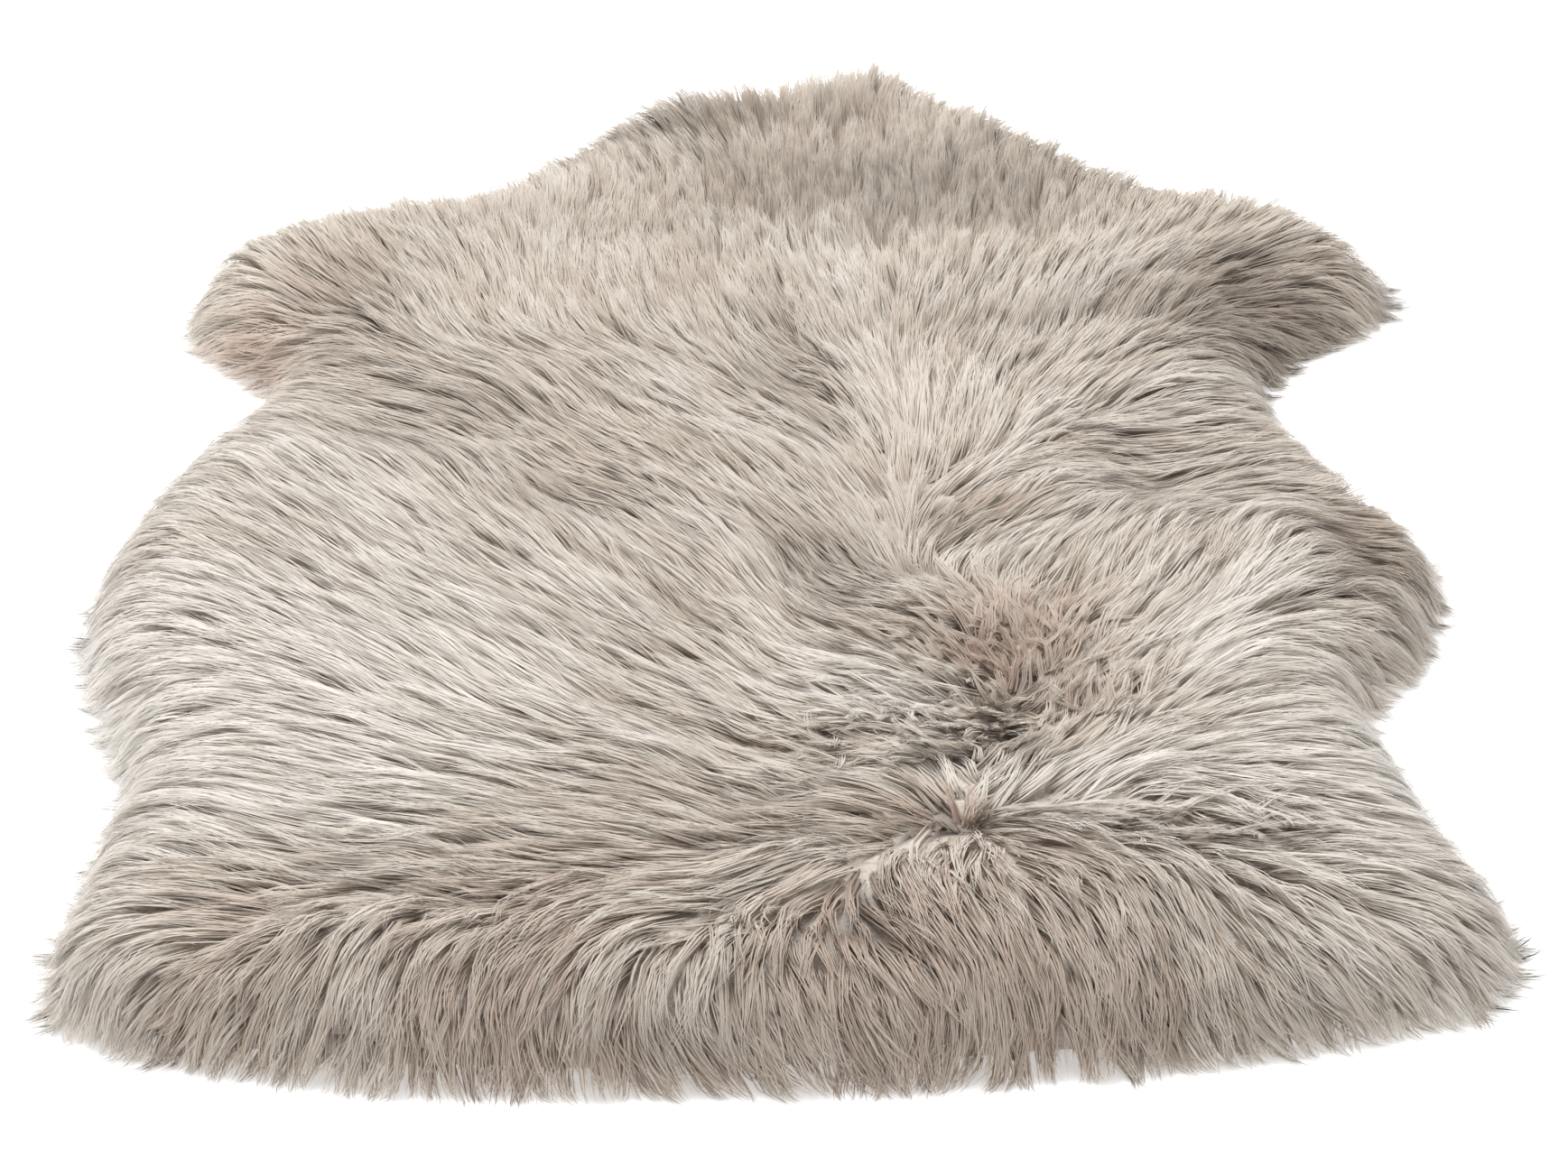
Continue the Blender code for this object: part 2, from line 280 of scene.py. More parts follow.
# Folds and hollows in the wool: place, x, y, reach across, reach along, turn in degrees, rise
RELIEF = (
    ("neck, front row", 0.000, 0.432, 0.050, 0.012, 15, 0.003),
    ("neck, middle row", 0.020, 0.350, 0.080, 0.014, -6, 0.003),
    ("cleft on the neck", 0.030, 0.398, 0.060, 0.010, 6, -0.003),
    ("fold before the withers", 0.070, 0.276, 0.060, 0.014, -12, 0.002),
    ("cleft before the withers, left", -0.060, 0.288, 0.060, 0.012, 10, -0.001),
    ("cleft left of the neck", -0.070, 0.388, 0.035, 0.014, 20, -0.005),
    ("neck, tip", 0.052, 0.470, 0.032, 0.030, 0, 0.0085),
    ("neck, left side", -0.040, 0.436, 0.070, 0.026, 18, 0.008),
    ("neck, right side", 0.118, 0.398, 0.060, 0.028, -42, 0.0095),
    ("hollow on the withers", 0.060, 0.246, 0.050, 0.016, 12, -0.003),
    ("withers, wisp in the middle", 0.030, 0.262, 0.012, 0.010, 0, 0.004),
    ("withers, wisp on the right", 0.092, 0.252, 0.014, 0.010, 0, 0.004),
    ("withers, right", 0.150, 0.222, 0.050, 0.018, -25, 0.004),
    ("hollow right of the withers", 0.140, 0.160, 0.055, 0.016, 15, -0.006),
    ("right foreleg", 0.290, 0.210, 0.050, 0.060, 0, -0.009),
    ("left foreleg", -0.245, 0.190, 0.030, 0.024, 20, -0.006),
    ("spine cleft, front", -0.005, 0.110, 0.012, 0.050, 20, -0.009),
    ("left shoulder ridge", -0.200, 0.095, 0.070, 0.020, -25, 0.005),
    ("left shoulder", -0.160, 0.026, 0.085, 0.024, -32, -0.007),
    ("left shoulder, inner", -0.095, -0.045, 0.040, 0.016, -35, -0.008),
    ("right waist", 0.185, -0.010, 0.026, 0.045, -15, -0.008),
    ("right belly", 0.284, -0.062, 0.024, 0.036, -10, -0.008),
    ("right belly ridge", 0.245, -0.110, 0.018, 0.050, -28, 0.005),
    ("spine cleft, middle", 0.017, -0.112, 0.013, 0.034, 12, -0.009),
    ("left of the whorl", -0.040, -0.150, 0.016, 0.022, -30, -0.008),
    ("whorl, upper", 0.104, -0.180, 0.032, 0.026, 0, 0.005),
    ("whorl, lower", 0.104, -0.245, 0.040, 0.020, 0, 0.004),
    ("behind the tuft", 0.110, -0.284, 0.022, 0.009, -10, -0.001),
    ("fold before the tuft", 0.050, -0.290, 0.040, 0.009, 4, 0.001),
    ("left of the tuft", 0.010, -0.345, 0.030, 0.012, -10, -0.005),
    ("lying lock", 0.005, -0.382, 0.045, 0.010, -5, 0.005),
    ("under the lying lock", -0.010, -0.412, 0.035, 0.010, -8, -0.002),
    ("left rump", -0.150, -0.400, 0.050, 0.014, -10, -0.003),
    ("right loin", 0.190, -0.315, 0.060, 0.018, -5, 0.005),
)

# Where the wool is in the shade of what stands around it or, below zero, out in the light:
# place, x, y, reach across, reach along, turn in degrees, strength
HOLLOWS = (
    ("neck, front left", -0.040, 0.420, 0.070, 0.022, 12, 0.45),
    ("neck", 0.060, 0.330, 0.100, 0.050, 0, 1.15),
    ("neck, front", 0.020, 0.390, 0.160, 0.060, 0, 0.80),
    ("front", 0.000, 0.230, 0.320, 0.090, 0, 0.36),
    ("left side of the back", -0.200, -0.040, 0.090, 0.070, 0, 0.22),
    ("left side, low", -0.195, -0.155, 0.030, 0.030, 0, 0.30),
    ("right foreleg, foot", 0.300, 0.185, 0.045, 0.050, 0, 0.45),
    ("neck, left", -0.075, 0.392, 0.050, 0.018, 20, 0.9),
    ("neck, behind the tip", 0.030, 0.440, 0.030, 0.012, 0, 0.1),
    ("before the withers", 0.105, 0.284, 0.060, 0.030, -8, 0.9),
    ("before the withers, middle", 0.010, 0.300, 0.045, 0.022, 0, 0.8),
    ("before the withers, left", -0.060, 0.276, 0.060, 0.024, 8, 0.9),
    ("right shoulder", 0.170, 0.330, 0.040, 0.050, 0, 0.6),
    ("left shoulder, front", -0.150, 0.290, 0.050, 0.030, 10, 0.6),
    ("left foreleg, front", -0.222, 0.182, 0.030, 0.040, 15, 1.2),
    ("left foreleg, back", -0.245, 0.122, 0.020, 0.020, 0, 0.8),
    ("right of the withers", 0.130, 0.165, 0.060, 0.016, 10, 0.6),
    ("right foreleg", 0.258, 0.205, 0.036, 0.050, 8, 2.5),
    ("right elbow", 0.195, 0.175, 0.024, 0.034, 0, 0.8),
    ("right foreleg, inner", 0.205, 0.165, 0.030, 0.030, 0, 0.5),
    ("right belly ridge", 0.248, -0.128, 0.024, 0.036, 0, -1.0),
    ("left shoulder", -0.170, 0.050, 0.085, 0.036, -30, 0.5),
    ("left shoulder, inner", -0.090, -0.035, 0.055, 0.030, -35, 0.6),
    ("left of the spine, front", -0.090, 0.100, 0.060, 0.060, 0, 0.25),
    ("spine, front", -0.002, 0.160, 0.014, 0.050, 10, 0.9),
    ("spine, front low", 0.010, 0.090, 0.018, 0.035, 10, 1.0),
    ("right of the spine", 0.115, 0.130, 0.030, 0.026, 20, 0.6),
    ("spine, middle", 0.018, -0.110, 0.026, 0.048, 10, 1.7),
    ("small whorl", 0.088, -0.058, 0.020, 0.016, 0, 1.2),
    ("right of the small whorl", 0.178, -0.035, 0.014, 0.026, 0, 1.3),
    ("right waist", 0.186, 0.040, 0.018, 0.060, 0, 0.30),
    ("right belly", 0.284, -0.085, 0.024, 0.045, -14, 1.6),
    ("left of the whorl", -0.040, -0.155, 0.018, 0.022, -30, 0.5),
    ("whorl, lower", 0.085, -0.266, 0.040, 0.022, 0, -0.50),
    ("off the whorl", 0.040, -0.220, 0.050, 0.070, 0, -0.95),
    ("whorl, middle", 0.106, -0.222, 0.016, 0.014, 0, 0.40),
    ("whorl, right", 0.124, -0.212, 0.018, 0.022, 0, 1.2),
    ("cleft before the tuft", 0.112, -0.282, 0.016, 0.012, 20, 1.4),
    ("before the tuft", 0.035, -0.285, 0.045, 0.020, 0, -0.75),
    ("lying lock", 0.020, -0.380, 0.040, 0.012, -5, -0.10),
    ("tuft, under its left half", 0.066, -0.346, 0.026, 0.018, 0, 0.55),
    ("bank under the tuft", 0.070, -0.458, 0.140, 0.026, 0, 0.35),
    ("left hind leg", -0.300, -0.430, 0.070, 0.050, 0, -0.95),
    ("left side", -0.320, -0.200, 0.040, 0.160, 0, -0.25),
    ("left loin", -0.200, -0.280, 0.130, 0.100, 0, -0.15),
    ("right loin", 0.220, -0.200, 0.080, 0.080, 0, -0.18),
    ("right groin", 0.215, -0.262, 0.020, 0.012, 0, 0.5),
    ("right hind leg", 0.300, -0.430, 0.050, 0.040, 0, -0.40),
    ("left foreleg, edge", -0.295, 0.150, 0.034, 0.080, 0, -0.80),
    ("right of the tuft", 0.165, -0.322, 0.050, 0.020, -8, -0.25),
    ("right of the tuft, low", 0.148, -0.342, 0.022, 0.012, 0, 1.3),
    ("right thigh", 0.230, -0.300, 0.070, 0.070, 0, -0.25),
    ("top of the right ridge", 0.120, -0.385, 0.070, 0.020, 4, -0.6),
    ("front of the tuft", 0.050, -0.385, 0.050, 0.016, 4, -0.6),
    ("top of the left bank", -0.060, -0.425, 0.110, 0.024, 4, -0.60),
    ("left rump", -0.165, -0.385, 0.040, 0.012, -10, 0.3),
    ("under the lying lock", 0.042, -0.424, 0.018, 0.028, 0, 1.0),
    ("left bank, low", -0.230, -0.460, 0.040, 0.020, 4, 0.45),
)

# Places where the wool turns out from a point: place, x, y, reach, lean at the point itself
WHORLS = (
    ("tuft on the spine", 0.086, -0.346, 0.030, 0.25),
    ("whorl on the spine", 0.104, -0.226, 0.018, 0.45),
)
WHORL_STRENGTH = 2.5
WHORL_LEAN = 0.80
WHORL_WISPS = 0.4
WHORL_OPENING = 0.6  # share of the reach at which the wool leans as elsewhere
WHORL_MIDDLE = 0.7  # share of the reach in which the undercoat shows

# What else tells the wool which way to lie
COMBING_REACH = 0.05  # the reach at which a place counts once
FAR_COMBING, FAR_REACH = 0.002, 0.1  # how little a far place counts, and from how far
RIM_STRENGTH = 2.0
RIM_LEAN, RIM_WISPS = 0.9, 0.50
RIM_TURN = 1.5  # how late the wool turns outwards on its way to the rim

# Where the wool is short and stands in pointed wisps: place, x, y, reach, strength
CRIMPS = (
    ("whorl, upper", 0.112, -0.188, 0.036, 1.5),
    ("whorl, upper left", 0.080, -0.185, 0.024, 0.8),
    ("whorl, middle", 0.104, -0.226, 0.022, 0.9),
    ("whorl, lower right", 0.146, -0.240, 0.026, 1.3),
    ("whorl, lower", 0.104, -0.256, 0.026, 1.1),
    ("whorl, lower left", 0.066, -0.258, 0.024, 1.0),
    ("tuft, middle", 0.086, -0.346, 0.014, 0.7),
    ("cleft behind the tuft", 0.100, -0.288, 0.022, 1.0),
    ("cleft left of it", 0.070, -0.284, 0.022, 1.0),
    ("before the tuft", 0.032, -0.276, 0.026, 0.9),
    ("small whorl", 0.092, -0.065, 0.016, 0.7),
    ("left of the tuft", 0.020, -0.320, 0.020, 0.4),
    ("behind the right ridge", 0.165, -0.340, 0.018, 0.8),
    ("behind the ridge's end", 0.205, -0.344, 0.018, 0.8),
    ("knot on the left bank", -0.015, -0.430, 0.020, 0.4),
    ("left ridge", -0.120, -0.395, 0.040, 0.3),
)

# Where the wool is browner than elsewhere: place, x, y, reach, strength
# Partly the wool's own colour, in the whorls and the tuft, partly painted shade, on the banks, the ridges,
# the neck, the forelegs, the right belly and the left hind leg
STAINS_AND_SHADE = (
    ("left foreleg", -0.285, 0.165, 0.042, 1.50),
    ("left foreleg, inner", -0.255, 0.190, 0.040, 0.80),
    ("whorl, upper", 0.108, -0.180, 0.048, 1.00),
    ("whorl, lower", 0.140, -0.232, 0.034, 0.60),
    ("before the tuft", 0.040, -0.278, 0.040, 0.55),
    ("behind the tuft", 0.095, -0.270, 0.032, 0.50),
    ("tuft, left half", 0.070, -0.342, 0.028, 2.0),
    ("left of the tuft", 0.035, -0.355, 0.030, 0.80),
    ("small whorl", 0.085, -0.065, 0.022, 0.45),
    ("left hind leg", -0.270, -0.440, 0.080, 0.95),
    ("left bank", -0.120, -0.465, 0.100, 0.80),
    ("right bank", 0.080, -0.465, 0.110, 0.90),
    ("left ridge", -0.110, -0.415, 0.080, 0.95),
    ("under the lying lock", 0.025, -0.430, 0.040, 1.0),
    ("neck", 0.030, 0.360, 0.120, 0.10),
    ("right foreleg", 0.255, 0.215, 0.055, 0.12),
    ("right belly", 0.290, -0.060, 0.035, 0.30),
)

# Where the wool is paler than elsewhere, as painted light: place, x, y, reach, strength
PALE_AND_LIT_PLACES = (
    ("left waist", -0.245, -0.040, 0.080, 0.22),
    ("left belly", -0.250, -0.200, 0.110, 0.46),
    ("left thigh", -0.220, -0.320, 0.100, 0.33),
    ("tuft, right half", 0.112, -0.338, 0.020, 0.25),
    ("arch right of the tuft", 0.150, -0.312, 0.040, 0.20),
    ("lying lock", 0.020, -0.382, 0.030, 0.25),
    ("front of the tuft", 0.080, -0.390, 0.020, 0.15),
    ("left rump", -0.050, -0.420, 0.040, 0.22),
    ("right thigh", 0.245, -0.315, 0.070, 0.46),
    ("right of the tuft", 0.165, -0.322, 0.040, 0.38),
    ("left hind leg", -0.310, -0.430, 0.060, 0.42),
    ("left rim", -0.345, -0.150, 0.060, 0.36),
    ("left groin", -0.325, -0.270, 0.060, 0.36),
    ("right hind leg", 0.310, -0.440, 0.050, 0.15),
    ("right belly", 0.240, -0.160, 0.045, 0.30),
    ("before the tuft", 0.050, -0.260, 0.040, 0.48),
)


def metres(name, description, default):
    return bpy.props.FloatProperty(
        name=name, description=description, default=default, unit="LENGTH", precision=4
    )


def number(name, description, default, **kind):
    return bpy.props.FloatProperty(name=name, description=description, default=default, **kind)


def share(name, description, default):
    return bpy.props.FloatProperty(
        name=name, description=description, default=default, min=0.0, max=1.0, subtype="FACTOR"
    )


def colour(name, description, default):
    return bpy.props.FloatVectorProperty(
        name=name, description=description, default=default, size=3, min=0.0, max=1.0, subtype="COLOR"
    )


class WoolSettings(bpy.types.PropertyGroup):
    lock_spacing: metres("Lock spacing", "Distance from one lock to the next", 0.0069)
    lock_length: metres("Lock length", "Length of a lock from where it leaves the undercoat", 0.052)
    long_rim: share("Long rim", "How much longer the rim's wool is away from the rump", 0.18)
    fibres_per_lock: bpy.props.IntProperty(
        name="Fibres per lock", description="Ribbons that make up one lock", default=11, min=1
    )
    fibre_width: metres("Fibre width", "Width of a ribbon at its root", 0.0008)
    roll: number("Roll", "How unevenly the fibres are turned", 0.25, subtype="ANGLE")
    uneven_shine: number("Uneven shine", "How differently the fibres of a lock catch the light", 0.11)
    lock_radius: metres("Lock radius", "How far a lock's fibres start from its middle", 0.0040)
    start_depth: metres("Start depth", "How far under the outer surface a lying lock starts", 0.0065)
    deepest_start: metres("Deepest start", "How far under the outer surface a standing lock starts", 0.024)
    tip_lift: metres("Tip lift", "How far a tip stands over the outer surface", 0.0015)
    drawing_in: share("Drawing in", "How closely a lock's fibres meet at its tip", 0.70)
    bunching: share("Bunching", "How far neighbouring locks bend towards each other", 0.75)
    bunch_spacing: metres("Bunch spacing", "Distance from one bunch of locks to the next", 0.012)
    bunch_rise: metres("Bunch rise", "How far one bunch stands over or under another", 0.0012)
    crimp_reach: metres("Crimp reach", "How far a crimped lock swings to each side", 0.0010)
    wisp_width: metres("Wisp width", "From one furrow between the wisps to the next", 0.009)
    wisp_length: metres("Wisp length", "How far a wisp's furrows run along the combing", 0.050)
    furrow_depth: metres("Furrow depth", "How far the wisps stand over the furrows between them", 0.0030)
    curl: number("Curl", "How far a lock bends sideways", 0.30, subtype="ANGLE")


class ColourSettings(bpy.types.PropertyGroup):
    pale: colour("Pale", "Tips of the palest fibres", (0.96, 0.915, 0.855))
    usual: colour("Usual", "Tips of most fibres", (0.82, 0.745, 0.655))
    brown: colour("Brown", "Tips of the brownest fibres", (0.65, 0.50, 0.41))
    # The shaded part and the root darken a fibre's lower part as painted shade between the fibres
    shaded: colour("Shaded part", "What a fibre's colour is multiplied by further up", (0.75, 0.71, 0.672))
    root: colour("Root", "What a fibre's colour is multiplied by at its root", (0.43, 0.39, 0.358))
    undercoat: colour("Undercoat", "Wool between the locks where they lie flat", (0.77, 0.70, 0.625))
    # The deep wool's colour is painted shade, for the gaps between standing locks
    deep_shade: colour("Deep wool", "Wool between the locks where they stand", (0.28, 0.23, 0.195))
    hide: colour("Hide", "Tanned flesh side of the skin", (0.72, 0.62, 0.50))


class HideSettings(bpy.types.PropertyGroup):
    thickness: metres("Thickness", "Thickness of the tanned hide", 0.0025)
    inset: metres("Inset", "How far the wool reaches past the hide's edge", 0.038)
    undercoat_depth: metres("Undercoat depth", "How far the undercoat lies under the outer surface", 0.0054)
    standing_depth: metres("Standing depth", "How much deeper it lies where the wool stands", 0.0145)
    whorl_depth: metres("Whorl depth", "How much deeper it lies in the middle of a whorl", 0.005)
    undercoat_inset: metres("Undercoat inset", "How far the locks reach past the undercoat's edge", 0.009)
    undercoat_wall: metres("Undercoat wall", "Thickness of the undercoat", 0.004)


class StageSettings(bpy.types.PropertyGroup):
    elevation: number("Elevation", "Height of the view over the floor", math.radians(28.9), subtype="ANGLE")
    distance: metres("Distance", "From the camera to the point it looks at", 2.87)
    lens: number("Lens", "Focal length", 133.0, unit="CAMERA")
    floor_size: metres("Floor size", "Width of the floor", 12.0)
    floor_glow: number("Floor glow", "Strength of the light from the floor itself", 0.40)
    key_power: number("Key light", "Power of the large light", 128.0, unit="POWER")
    fill_power: number("Fill light", "Power of the small light", 7.0, unit="POWER")
    daylight: number("Daylight", "Strength of the even light all round", 0.34)


# ---------------------------------------------------------------------------------------------
# The wool's outer surface


def grid(low, high, step):
    """Even places over the floor, as one list, and the shape of the grid they come from."""
    columns, rows = np.ceil((high - low) / step).astype(int)
    x, y = np.meshgrid(np.arange(columns) * step + low[0], np.arange(rows) * step + low[1])
    return np.stack([x.ravel(), y.ravel()], 1), x.shape


class Field:
    """Values on an even grid over the floor, read smoothly between its points."""

    def __init__(self, low, step, values):
        self.low, self.step, self.values = low, step, values

    def at(self, points):
        rows, columns = self.values.shape
        spot = (points - self.low) / self.step
        spot = np.clip(spot, 0.0, np.array([columns, rows]) - LAST_CELL)
        corner = spot.astype(int)
        right, up = (spot - corner).T
        i, j = corner[:, 0], corner[:, 1]
        below = self.values[j, i] * (1 - right) + self.values[j, i + 1] * right
        above = self.values[j + 1, i] * (1 - right) + self.values[j + 1, i + 1] * right
        return below * (1 - up) + above * up

    def slopes(self):
        along_y, along_x = np.gradient(self.values, self.step)
        return Field(self.low, self.step, along_x), Field(self.low, self.step, along_y)


def noise_field(random, low, high, spacing, amount):
    """A gently uneven field whose bumps are about the given spacing apart."""
    rows, columns = np.ceil((high - low)[::-1] / spacing).astype(int) + 2
    coarse = Field(low, spacing, random.standard_normal((rows, columns)))
    fine_step = spacing / NOISE_STEPS
    spots, shape = grid(low, high, fine_step)
    return Field(low, fine_step, smoothed(coarse.at(spots).reshape(shape), NOISE_PASSES) * amount)


def smoothed(values, passes):
    for _ in range(passes):
        padded = np.pad(values, 1, mode="edge")
        around = padded[:-2, 1:-1] + padded[2:, 1:-1] + padded[1:-1, :-2] + padded[1:-1, 2:]
        values = (values + around) / 5
    return values


def underside_ring(node):
    """The corners of the solid's flat underside, in order round the middle."""
    low = [v.co for v in node.data.vertices if v.co.z < ON_FLOOR]
    corners = {(round(place.x, SAME_DIGITS), round(place.y, SAME_DIGITS)) for place in low}
    return np.array(sorted(corners, key=lambda p: math.atan2(p[1] - MIDDLE[1], p[0] - MIDDLE[0])))


def distance_to_ring(points, ring):
    nearest = np.full(len(points), np.inf)
    for start, end in zip(ring, np.roll(ring, -1, axis=0)):
        stretch = end - start
        along = np.clip((points - start) @ stretch / (stretch @ stretch), 0, 1)
        nearest = np.minimum(nearest, np.linalg.norm(points - start - along[:, None] * stretch, axis=1))
    return nearest


class Envelope:
    """The wool's outer surface over the floor, and how far each place lies inside the rim."""

    def __init__(self, node):
        vertices = [v.co for v in node.data.vertices]
        tree = BVHTree.FromPolygons(vertices, [p.vertices for p in node.data.polygons])
        low, high = (np.array(corner[:2]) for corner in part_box(NODE))
        self.low, self.high = low - GRID_MARGIN, high + GRID_MARGIN
        spots, shape = grid(self.low, self.high, GRID_STEP)
        hits = [tree.ray_cast(Vector((a, b, 1.0)), Vector((0, 0, -1)))[0] for a, b in spots]
        inside = np.array([hit is not None for hit in hits])
        ring = underside_ring(node)
        self.rim = ring + RIM_TUCK * unit(ring - MIDDLE)
        distance = distance_to_ring(spots, self.rim)
        height = np.array([hit.z if hit else 0.0 for hit in hits])
        height = np.where(inside, height, -FALL_OUTSIDE * distance)
        height += oval_strengths(spots, RELIEF).sum(0)
        distance = np.where(inside, distance, -distance)
        self.height = Field(self.low, GRID_STEP, smoothed(height.reshape(shape), SMOOTHING_PASSES))
        self.depth_in = Field(self.low, GRID_STEP, distance.reshape(shape))
        self.slope_x, self.slope_y = self.height.slopes()
        self.inward_x, self.inward_y = self.depth_in.slopes()
        way, wisps = blended(spots, self)
        rows = (way[:, 0], way[:, 1], wisps)
        fields = (Field(self.low, GRID_STEP, values.reshape(shape)) for values in rows)
        self.flow_x, self.flow_y, self.wisps = fields

    def flow(self, points):
        return np.stack([self.flow_x.at(points), self.flow_y.at(points)], 1)

    def standing(self, points):
        """How nearly upright the wool is at each point, from 0 to 1."""
        lean = np.linalg.norm(self.flow(points), axis=1)
        return np.clip((1 - lean) / (1 - STANDING_LEAN), 0, 1)

    def normals(self, points):
        normal = np.stack([-self.slope_x.at(points), -self.slope_y.at(points), np.ones(len(points))], 1)
        return unit(normal)

    def near_rim(self, points):
        """How near each point is to the rim, from 0 where the combing is the wool's own to 1."""
        return np.clip(1 - self.depth_in.at(points) / EDGE_COMBING, 0, 1)

    def outward(self, points):
        return unit(-np.stack([self.inward_x.at(points), self.inward_y.at(points)], 1))


def drawn_out(field, envelope, reach):
    """An uneven field again, smeared along the way the wool is combed, with even strength."""
    rows, columns = shape = field.values.shape
    along_x = np.arange(columns) * field.step + field.low[0]
    along_y = np.arange(rows) * field.step + field.low[1]
    start = np.stack([places.ravel() for places in np.meshgrid(along_x, along_y)], 1)
    total = field.at(start)
    stride = 2 * field.step
    strides = int(reach / stride)
    for sign in (1, -1):
        spot = start.copy()
        for k in range(strides):
            spot += sign * stride * unit(envelope.flow(spot))
            total += field.at(spot) * (1 - k / strides)
    total = total.reshape(shape)
    return Field(field.low, field.step, (total - total.mean()) / total.std())


class Relief:
    """How far the wool stands over or under its smooth outer surface: rounded wisps and furrows."""

    def __init__(self, random, envelope, wool):
        low, high = envelope.low, envelope.high
        broad = noise_field(random, low, high, wool.wisp_width * BROADER, 1.0)
        wisps = noise_field(random, low, high, wool.wisp_width, 1.0)
        broad = drawn_out(broad, envelope, wool.wisp_length)
        wisps = drawn_out(wisps, envelope, wool.wisp_length * SHORTER)
        spots, shape = grid(low, high, RELIEF_STEP)
        fold = np.minimum(np.abs(broad.at(spots)), WISP_TOP) - WISP_MIDDLE
        fine = np.minimum(np.abs(wisps.at(spots)), WISP_TOP) - WISP_MIDDLE
        strength = LEAST_RELIEF + RELIEF_IN_WISPS * envelope.wisps.at(spots)
        both = BROAD_SHARE * fold + FINE_SHARE * fine
        self.height = Field(low, RELIEF_STEP, (wool.furrow_depth * both * strength).reshape(shape))
        self.slope_x, self.slope_y = self.height.slopes()
        self.fold = Field(low, RELIEF_STEP, both.reshape(shape))


def unit(vectors):
    return vectors / np.maximum(np.linalg.norm(vectors, axis=-1, keepdims=True), LEAST_LENGTH)


def oval_strengths(points, ovals):
    """How strongly each oval acts at each point: place, x, y, reach across, reach along, turn, strength."""
    rows = []
    for _, x, y, across, along, turn, strength in ovals:
        away = turned(points - (x, y), -math.radians(turn)) / (across, along)
        rows.append(strength * np.exp(-(away**2).sum(1)))
    return np.array(rows)


def trait(name, wisps, crimp):
    """How strongly a trait shows in wool with these wisps and this crimp."""
    plain_wool, in_wisps, in_crimp = TRAITS[name]
    return plain_wool + in_wisps * wisps + in_crimp * crimp


def patch_strength(points, patches):
    """How strongly each point lies in one of the patches: place, x, y, reach, strength."""
    total = np.zeros(len(points))
    for _, x, y, reach, strength in patches:
        away = np.linalg.norm(points - (x, y), axis=1)
        total = np.maximum(total, strength * np.exp(-((away / reach) ** 2)))
    return total


def crimp_at(points):
    return np.clip(patch_strength(points, CRIMPS), 0, 1)


def whorl_strength(points):
    """How near each point is to the middle of a whorl, from 0 to 1."""
    middles = [(name, x, y, WHORL_MIDDLE * reach, 1.0) for name, x, y, reach, _ in WHORLS]
    return np.clip(patch_strength(points, middles), 0, 1)


def blended(points, envelope):
    """How the wool lies at each point: its way over the floor, as long as its lean, and its wisps."""
    total, weight = np.zeros((len(points), 4)), np.zeros(len(points))
    for _, x, y, heading, lean, wisps, reach in COMBING:
        away = np.linalg.norm(points - (x, y), axis=1)
        near, far = np.exp(-((away / reach) ** 2)), FAR_COMBING / (1 + (away / FAR_REACH) ** 2)
        pull = (COMBING_REACH / reach) ** 2 * (near + far)
        heading = math.radians(heading)
        total += pull[:, None] * np.array([lean * math.cos(heading), lean * math.sin(heading), wisps, lean])
        weight += pull
    for _, x, y, reach, least in WHORLS:
        out = points - (x, y)
        away = np.linalg.norm(out, axis=1)
        pull = WHORL_STRENGTH * (COMBING_REACH / reach) * np.exp(-((away / reach) ** 2))
        lean = least + (WHORL_LEAN - least) * np.clip(away / (WHORL_OPENING * reach), 0, 1)
        total[:, :2] += (pull * lean)[:, None] * unit(out)
        total[:, 2] += pull * WHORL_WISPS
        total[:, 3] += pull * lean
        weight += pull
    pull = RIM_STRENGTH * envelope.near_rim(points) ** RIM_TURN
    total[:, :2] += (pull * RIM_LEAN)[:, None] * envelope.outward(points)
    total[:, 2] += pull * RIM_WISPS
    total[:, 3] += pull * RIM_LEAN
    weight += pull
    total /= weight[:, None]
    lean = np.linalg.norm(total[:, :2], axis=1)
    lean += EVEN_LEAN * (total[:, 3] - lean)
    return unit(total[:, :2]) * lean[:, None], total[:, 2]


def turned(ways, angle):
    """Directions over the floor, turned to the left by an angle."""
    cos, sin = np.cos(angle), np.sin(angle)
    return np.stack([ways[:, 0] * cos - ways[:, 1] * sin, ways[:, 0] * sin + ways[:, 1] * cos], 1)


# ---------------------------------------------------------------------------------------------
# Locks and fibres


def spread_roots(random, envelope, spacing):
    """Places for the locks, evenly spread over the outer surface."""
    corners, _ = grid(envelope.low, envelope.high, spacing)
    middle = corners + spacing / 2
    steepness = np.sqrt(1 + envelope.slope_x.at(middle) ** 2 + envelope.slope_y.at(middle) ** 2)
    standing = STANDING_DENSITY * envelope.standing(middle)
    thicker = 1 + np.maximum(CRIMPED_DENSITY * crimp_at(middle), standing)
    thicker += FRINGE_DENSITY * (envelope.depth_in.at(middle) < FRINGE_REACH)
    count = np.floor(np.minimum(steepness, DENSEST) * thicker + random.random(len(corners))).astype(int)
    roots = np.repeat(corners, count, axis=0)
    roots = roots + random.random(roots.shape) * spacing
    return roots[envelope.depth_in.at(roots) > ROOTS_INSET]


def nearest_bunch(random, roots, envelope, spacing):
    """The middle of the bunch that each lock belongs to, and the bunch's number."""
    middles, _ = grid(envelope.low, envelope.high, spacing)
    middles = middles + random.random(middles.shape) * spacing
    nearest = []
    for block in np.array_split(roots, BLOCKS):
        nearest.append(((block[:, None] - middles[None]) ** 2).sum(2).argmin(1))
    nearest = np.concatenate(nearest)
    return middles[nearest], nearest


